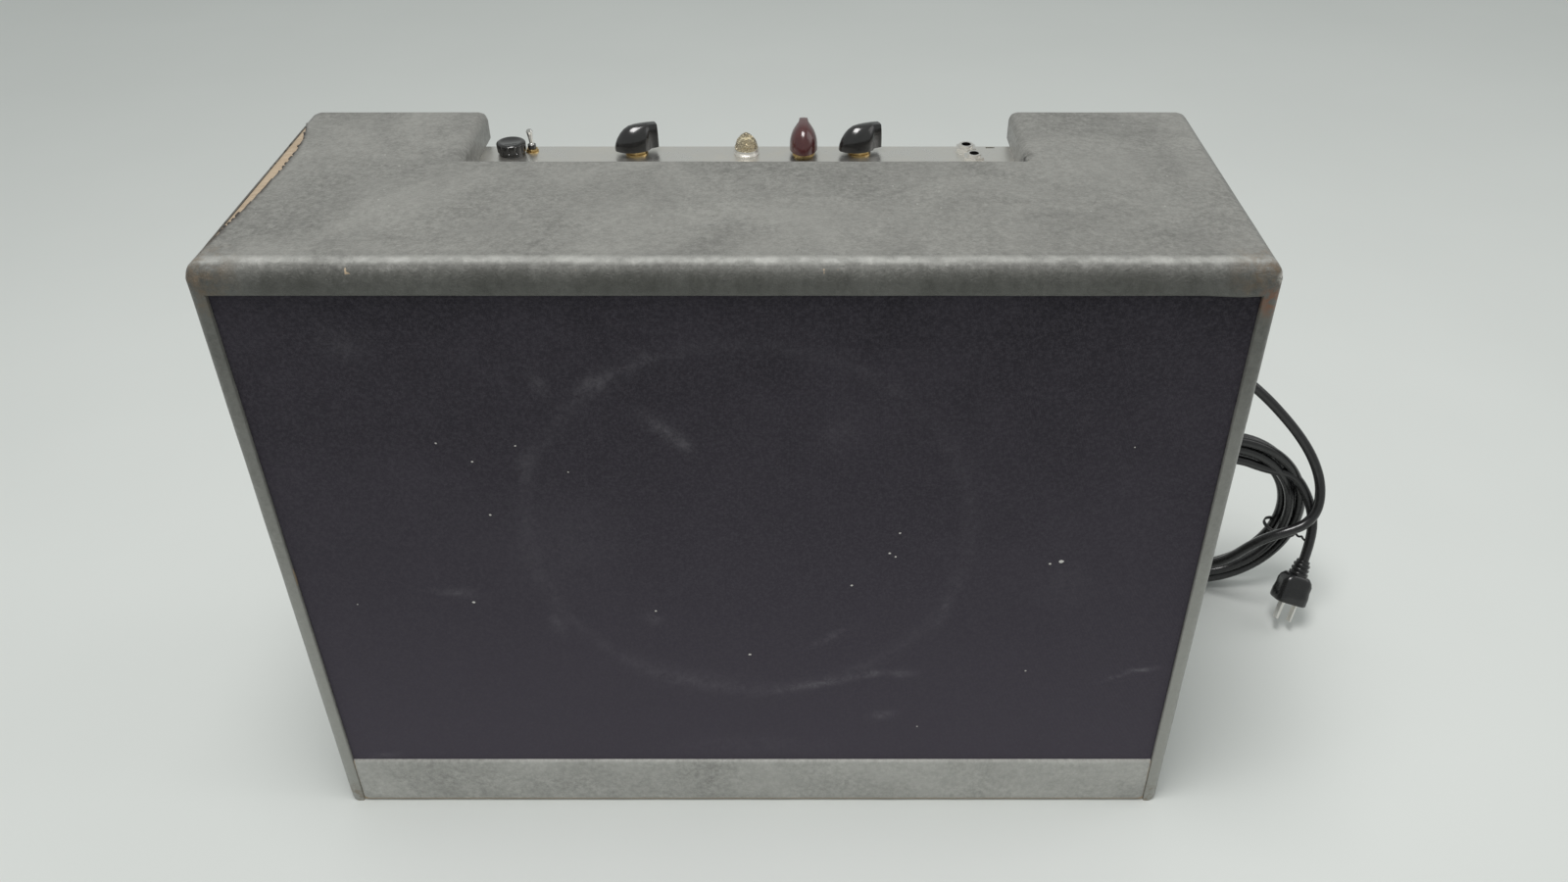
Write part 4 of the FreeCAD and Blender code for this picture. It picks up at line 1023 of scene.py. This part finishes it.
def lint_bits(y):
    dice = random.Random(4)
    parts = []
    for x, z, size in LINT:
        work = bmesh.new()
        bmesh.ops.create_icosphere(work, subdivisions=2, radius=size / 2)
        for v in work.verts:
            v.co *= 1 + 0.35 * rough_noise(v.co + Vector((x, z, 0)), 0.6)
            v.co.y *= 0.35
            v.co.x *= dice.uniform(0.98, 1.02) * 1.25
        points = [at_mm(x, 0, z) + Vector((0, y, 0)) + v.co * MM for v in work.verts]
        parts.append((points, [tuple(v.index for v in f.verts) for f in work.faces]))
        work.free()
    points, faces = merged(parts)
    return mesh_object("lint", points, faces, "grille_cloth", paint="lint")


# Controls

def pointer_knob(name, slot, body, turn):
    """A pointer knob: sections along its pointer, from a low beak over a domed hub to a tall square tail."""
    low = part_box(name + "_knob")[0]
    shaft = centre_of(name + "_shaft")
    sections = [  # distance from the shaft, half width at the foot and at the top, height
        (14.6, 1.0, 0.4, 1.8), (14.5, 1.6, 0.5, 3.2), (14.0, 2.6, 0.5, 4.8), (12.5, 4.6, 0.6, 8.2),
        (10.0, 6.8, 0.8, 11.6), (7.5, 8.2, 1.0, 14.0), (4.0, 9.3, 1.4, 15.8), (0.0, 9.5, 1.8, 16.3),
        (-4.0, 9.0, 2.2, 16.4), (-7.0, 7.6, 2.4, 16.4), (-8.6, 5.6, 2.5, 16.4), (-9.4, 4.9, 2.5, 16.4),
        (-13.8, 4.3, 2.5, 16.2), (-14.6, 4.1, 2.3, 15.9), (-14.8, 3.9, 2.1, 15.4),
    ]
    levels = [0, 0.05, 0.2, 0.4, 0.55, 0.68, 0.78, 0.86, 0.92, 0.96, 0.985]
    points = []
    rows = 2 * len(levels) + 1
    for x, foot, top, high in sections:
        half = [(top + (foot - top) * (1 - t ** 3) ** 0.8, high * t) for t in levels]
        row = half + [(0, high)] + [(-a, b) for a, b in reversed(half)]
        points += [Vector((x, a, b)) for a, b in row]
    faces = sheet_faces(len(sections), rows)
    faces.append(tuple(range(rows)))
    faces.append(tuple(len(points) - rows + k for k in range(rows)))
    spin = Matrix.Rotation(math.radians(turn), 3, "Z")
    place = Vector((shaft.x, shaft.y, low.z))
    points = [place + (spin @ p) * MM for p in points]
    return mesh_object(name + "_pointer", points, faces, slot, body, [name + "_knob"], 38)


def fuse_cap():
    """A fluted screw cap with a rim and a shallow dish on its top."""
    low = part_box("fuse_cap")[0].z
    middle = centre_of("fuse_cap")

    def fluted(radius, height, angle):
        if not 0.8 < height < 5.9 or radius < 8.8:
            return radius
        return radius - 0.7 * max(0.0, math.cos(12 * angle)) ** 3

    profile = [(6.0, 0), (9.2, 0), (9.6, 0.4), (9.6, 0.8), (9.6, 1.2), (9.8, 3.4), (9.9, 5.6), (9.7, 6.1),
               (9.1, 6.6), (8.2, 6.95), (6.8, 7.0), (6.3, 6.7), (0, 6.6)]
    points, faces = lathe(profile, 144, fluted)
    points = moved(points, (middle.x, middle.y, low))
    return mesh_object("fuse_cap_fluted", points, faces, "black_phenolic", "fuse_carrier", ["fuse_cap"], 35)


def pilot_light():
    """A chromed bezel with a faceted glass jewel."""
    middle = centre_of("pilot_bezel")
    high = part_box("pilot_bezel")[1].z
    bezel_height = 3.6
    ring = [(6.3, -6), (6.3, -0.1), (8.7, 0), (8.9, 0.4), (8.85, 1.1), (8.55, 1.4), (8.55, 1.9), (8.75, 2.3),
            (8.7, 3.0), (8.4, 3.5), (8.0, bezel_height), (6.6, 3.4), (5.5, 3.0), (5.45, -5)]
    points, faces = lathe(ring, 56)
    base = (middle.x, middle.y, high - bezel_height * MM)
    mesh_object("bezel", moved(points, base), faces, "nickel", replaces=["pilot_bezel"])
    rows = [(5.2, 0.7), (8.0, 3.5), (8.0, 4.6), (7.6, 6.7), (6.2, 10.0), (3.4, 13.0), (1.2, 14.4)]
    facets = 10
    points, faces = [], []
    for i, (radius, height) in enumerate(rows):
        for k in range(facets):
            a = 2 * math.pi * (k + 0.5 * (i % 2)) / facets
            points.append(Vector((radius * math.cos(a), radius * math.sin(a), height)))
            if i:
                n = (k + 1) % facets
                here, last = i * facets, (i - 1) * facets
                if i % 2 == 0:
                    faces += [(last + k, here + n, here + k), (last + k, last + n, here + n)]
                else:
                    faces += [(last + k, last + n, here + k), (last + n, here + n, here + k)]
    faces.append(tuple(range(facets)))
    faces.append(tuple(len(points) - facets + k for k in range(facets)))
    mesh_object("jewel", moved(points, base), faces, "jewel_glass",
                replaces=["pilot_jewel"], smooth=1)


# Valves

def valve(name, x, y, top, base, glass, plate):
    """One valve hanging from its socket: its base if any, a glass shell, electrodes and a silvered end."""
    def piece(suffix, shape, slot, paint, open_ends=False):
        points, faces = shape
        faces = faces[:-2] if open_ends else faces
        made = mesh_object(name + suffix, moved(points, (x, y, top)), faces, slot, paint=paint)
        parts.append(made)
        return made

    parts = []
    if base:
        radius, long = base
        slim = radius - 0.6
        profile = [(0, 0), (radius, 0), (radius, -long * 0.6), (slim, -long * 0.66), (slim, -long * 0.9),
                   (radius + 0.1, -long * 0.94), (radius - 1.2, -long), (0, -long)]
        piece("_base", lathe(profile, 40), "socket_brown", "valve_base")
    shell = piece("_glass", lathe(glass, 40), "valve_glass", "valve_glass", True)
    changed(shell, "SOLIDIFY", thickness=0.0007, offset=-1)
    finish_smooth(shell, 50)
    wide, deep, start, end = plate
    rim = wide + 2.6
    inside = [block(-wide, wide, -deep, deep, end, start)]
    inside += [block(-wide - 1.2, wide + 1.2, -0.4, 0.4, end + 1, start - 1)]
    for level in (start, end - 0.6):
        inside += [lathe([(0, level), (rim, level), (rim, level + 0.6), (0, level + 0.6)], 28)]
    inside += [lathe([(0, end - 1), (0.5, end - 1), (0.5, end - 6), (0, end - 6)], 8)]
    piece("_electrodes", merged(inside), "panel_steel", "electrode")
    tip = glass[-1][1]
    silver = [(r - 0.9, h + 0.9) for r, h in glass if h < end - 4 and r > 1.5] + [(0.3, tip + 1.2)]
    piece("_getter", lathe([(silver[0][0] + 0.2, silver[0][1] + 3)] + silver, 32), "nickel", "getter", True)
    return parts


def valves():
    """All five valves, on the centres of their CAD solids."""
    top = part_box("rectifier_tube")[1].z
    y = centre_of("rectifier_tube").y

    def octal(glass_long):
        end = -20 - glass_long
        return [(14.6, -18.5), (14.8, -24), (14.8, end + 12), (14.2, end + 7), (12.3, end + 3.2),
                (9, end + 1.0), (4, end + 0.2), (0.3, end)]

    noval = [(9.6, -1.0), (10.3, -2.5), (10.4, -38), (9.9, -41.5), (8.0, -44.2), (4.5, -46), (2.4, -47.2),
             (1.4, -49.5), (0.3, -52.3)]
    octal_base, octal_r, noval_r = (16.5, 20), 16.5, 10.4
    first = valve("rectifier", centre_of("rectifier_tube").x, y, top, octal_base, octal(60), (8, 5, -27, -62))
    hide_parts("rectifier_tube")
    kinds = [
        ("power_valve", "power_tubes", octal_r, octal_base, octal(56), (9, 5.5, -27, -60)),
        ("preamp_valve", "preamp_tubes", noval_r, None, noval, (5.5, 3.2, -10, -36)),
    ]
    for name, node, radius, base, glass, plate in kinds:
        low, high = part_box(node)
        for k, x in enumerate((low.x + radius * MM, high.x - radius * MM)):
            made = valve(f"{name}_{k + 1}", x, y, top, base, glass, plate)
            if k == 0:
                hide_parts(node)


# CAD nodes that keep their shape

NODE_PAINTS = {
    "plywood": ["top_board", "bottom_board", "front_rail", "baffle_board"],
    "upright_plywood": ["left_side_board", "right_side_board", "back_cleats"],
    "screw_steel": ["wood_screws", "speaker_bolts"],
    "panel_steel": ["chassis"],
    "nickel": ["jack_nuts", "plug_pins"],
    "brass": ["pot_nuts", "volume_shaft", "middle_shaft", "tone_shaft", "switch_nut"],
    "switch_metal": ["switch_lever", "pot_bodies"],
    "black_phenolic": ["fuse_holder", "switch_body", "input_jacks", "pilot_bulb_holder"],
    "fuse_glass": ["fuse"],
    "board_fibre": ["circuit_board"],
    "capacitor_yellow": ["signal_capacitors"],
    "resistor_brown": ["resistors"],
    "capacitor_silver": ["filter_capacitors"],
    "socket_brown": ["tube_sockets"],
    "transformer_black": ["power_transformer", "output_transformer"],
    "frame_grey": ["speaker_frame"],
    "cone_paper": ["speaker_cone", "speaker_surround", "dust_cap"],
    "spider_cloth": ["spider"],
    "coil_former": ["voice_coil"],
    "magnet": ["magnet_ring"],
    "yoke_steel": ["magnet_yoke"],
    "lead_wire": ["speaker_leads"],
}


def paint_nodes():
    for slot, nodes in NODE_PAINTS.items():
        for name in nodes:
            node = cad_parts[name]
            node.data.materials.clear()
            node.data.materials.append(PAINTS[slot])
            for face in node.data.polygons:
                face.material_index = 0
    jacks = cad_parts["input_jacks"]
    jacks.data.materials.append(PAINTS["nickel"])
    for face in jacks.data.polygons:
        if face.center.z > UNDER_TOP * MM:
            face.material_index = 1


def main():
    camera()
    PAINTS.update(all_paints())
    relief, tie, plug_block = strain_relief(), wire_tie(), plug()
    mains_cord()
    studio()
    wrap_covering()
    rail_covering()
    back_panel("upper_back_panel")
    back_panel("lower_back_panel")
    grille()
    pointer_knob("volume", "black_phenolic", "volume", 200)
    pointer_knob("middle", "maroon_phenolic", "middle", 270)
    pointer_knob("tone", "black_phenolic", "tone", 200)
    fuse_cap()
    pilot_light()
    valves()
    paint_nodes()


main()
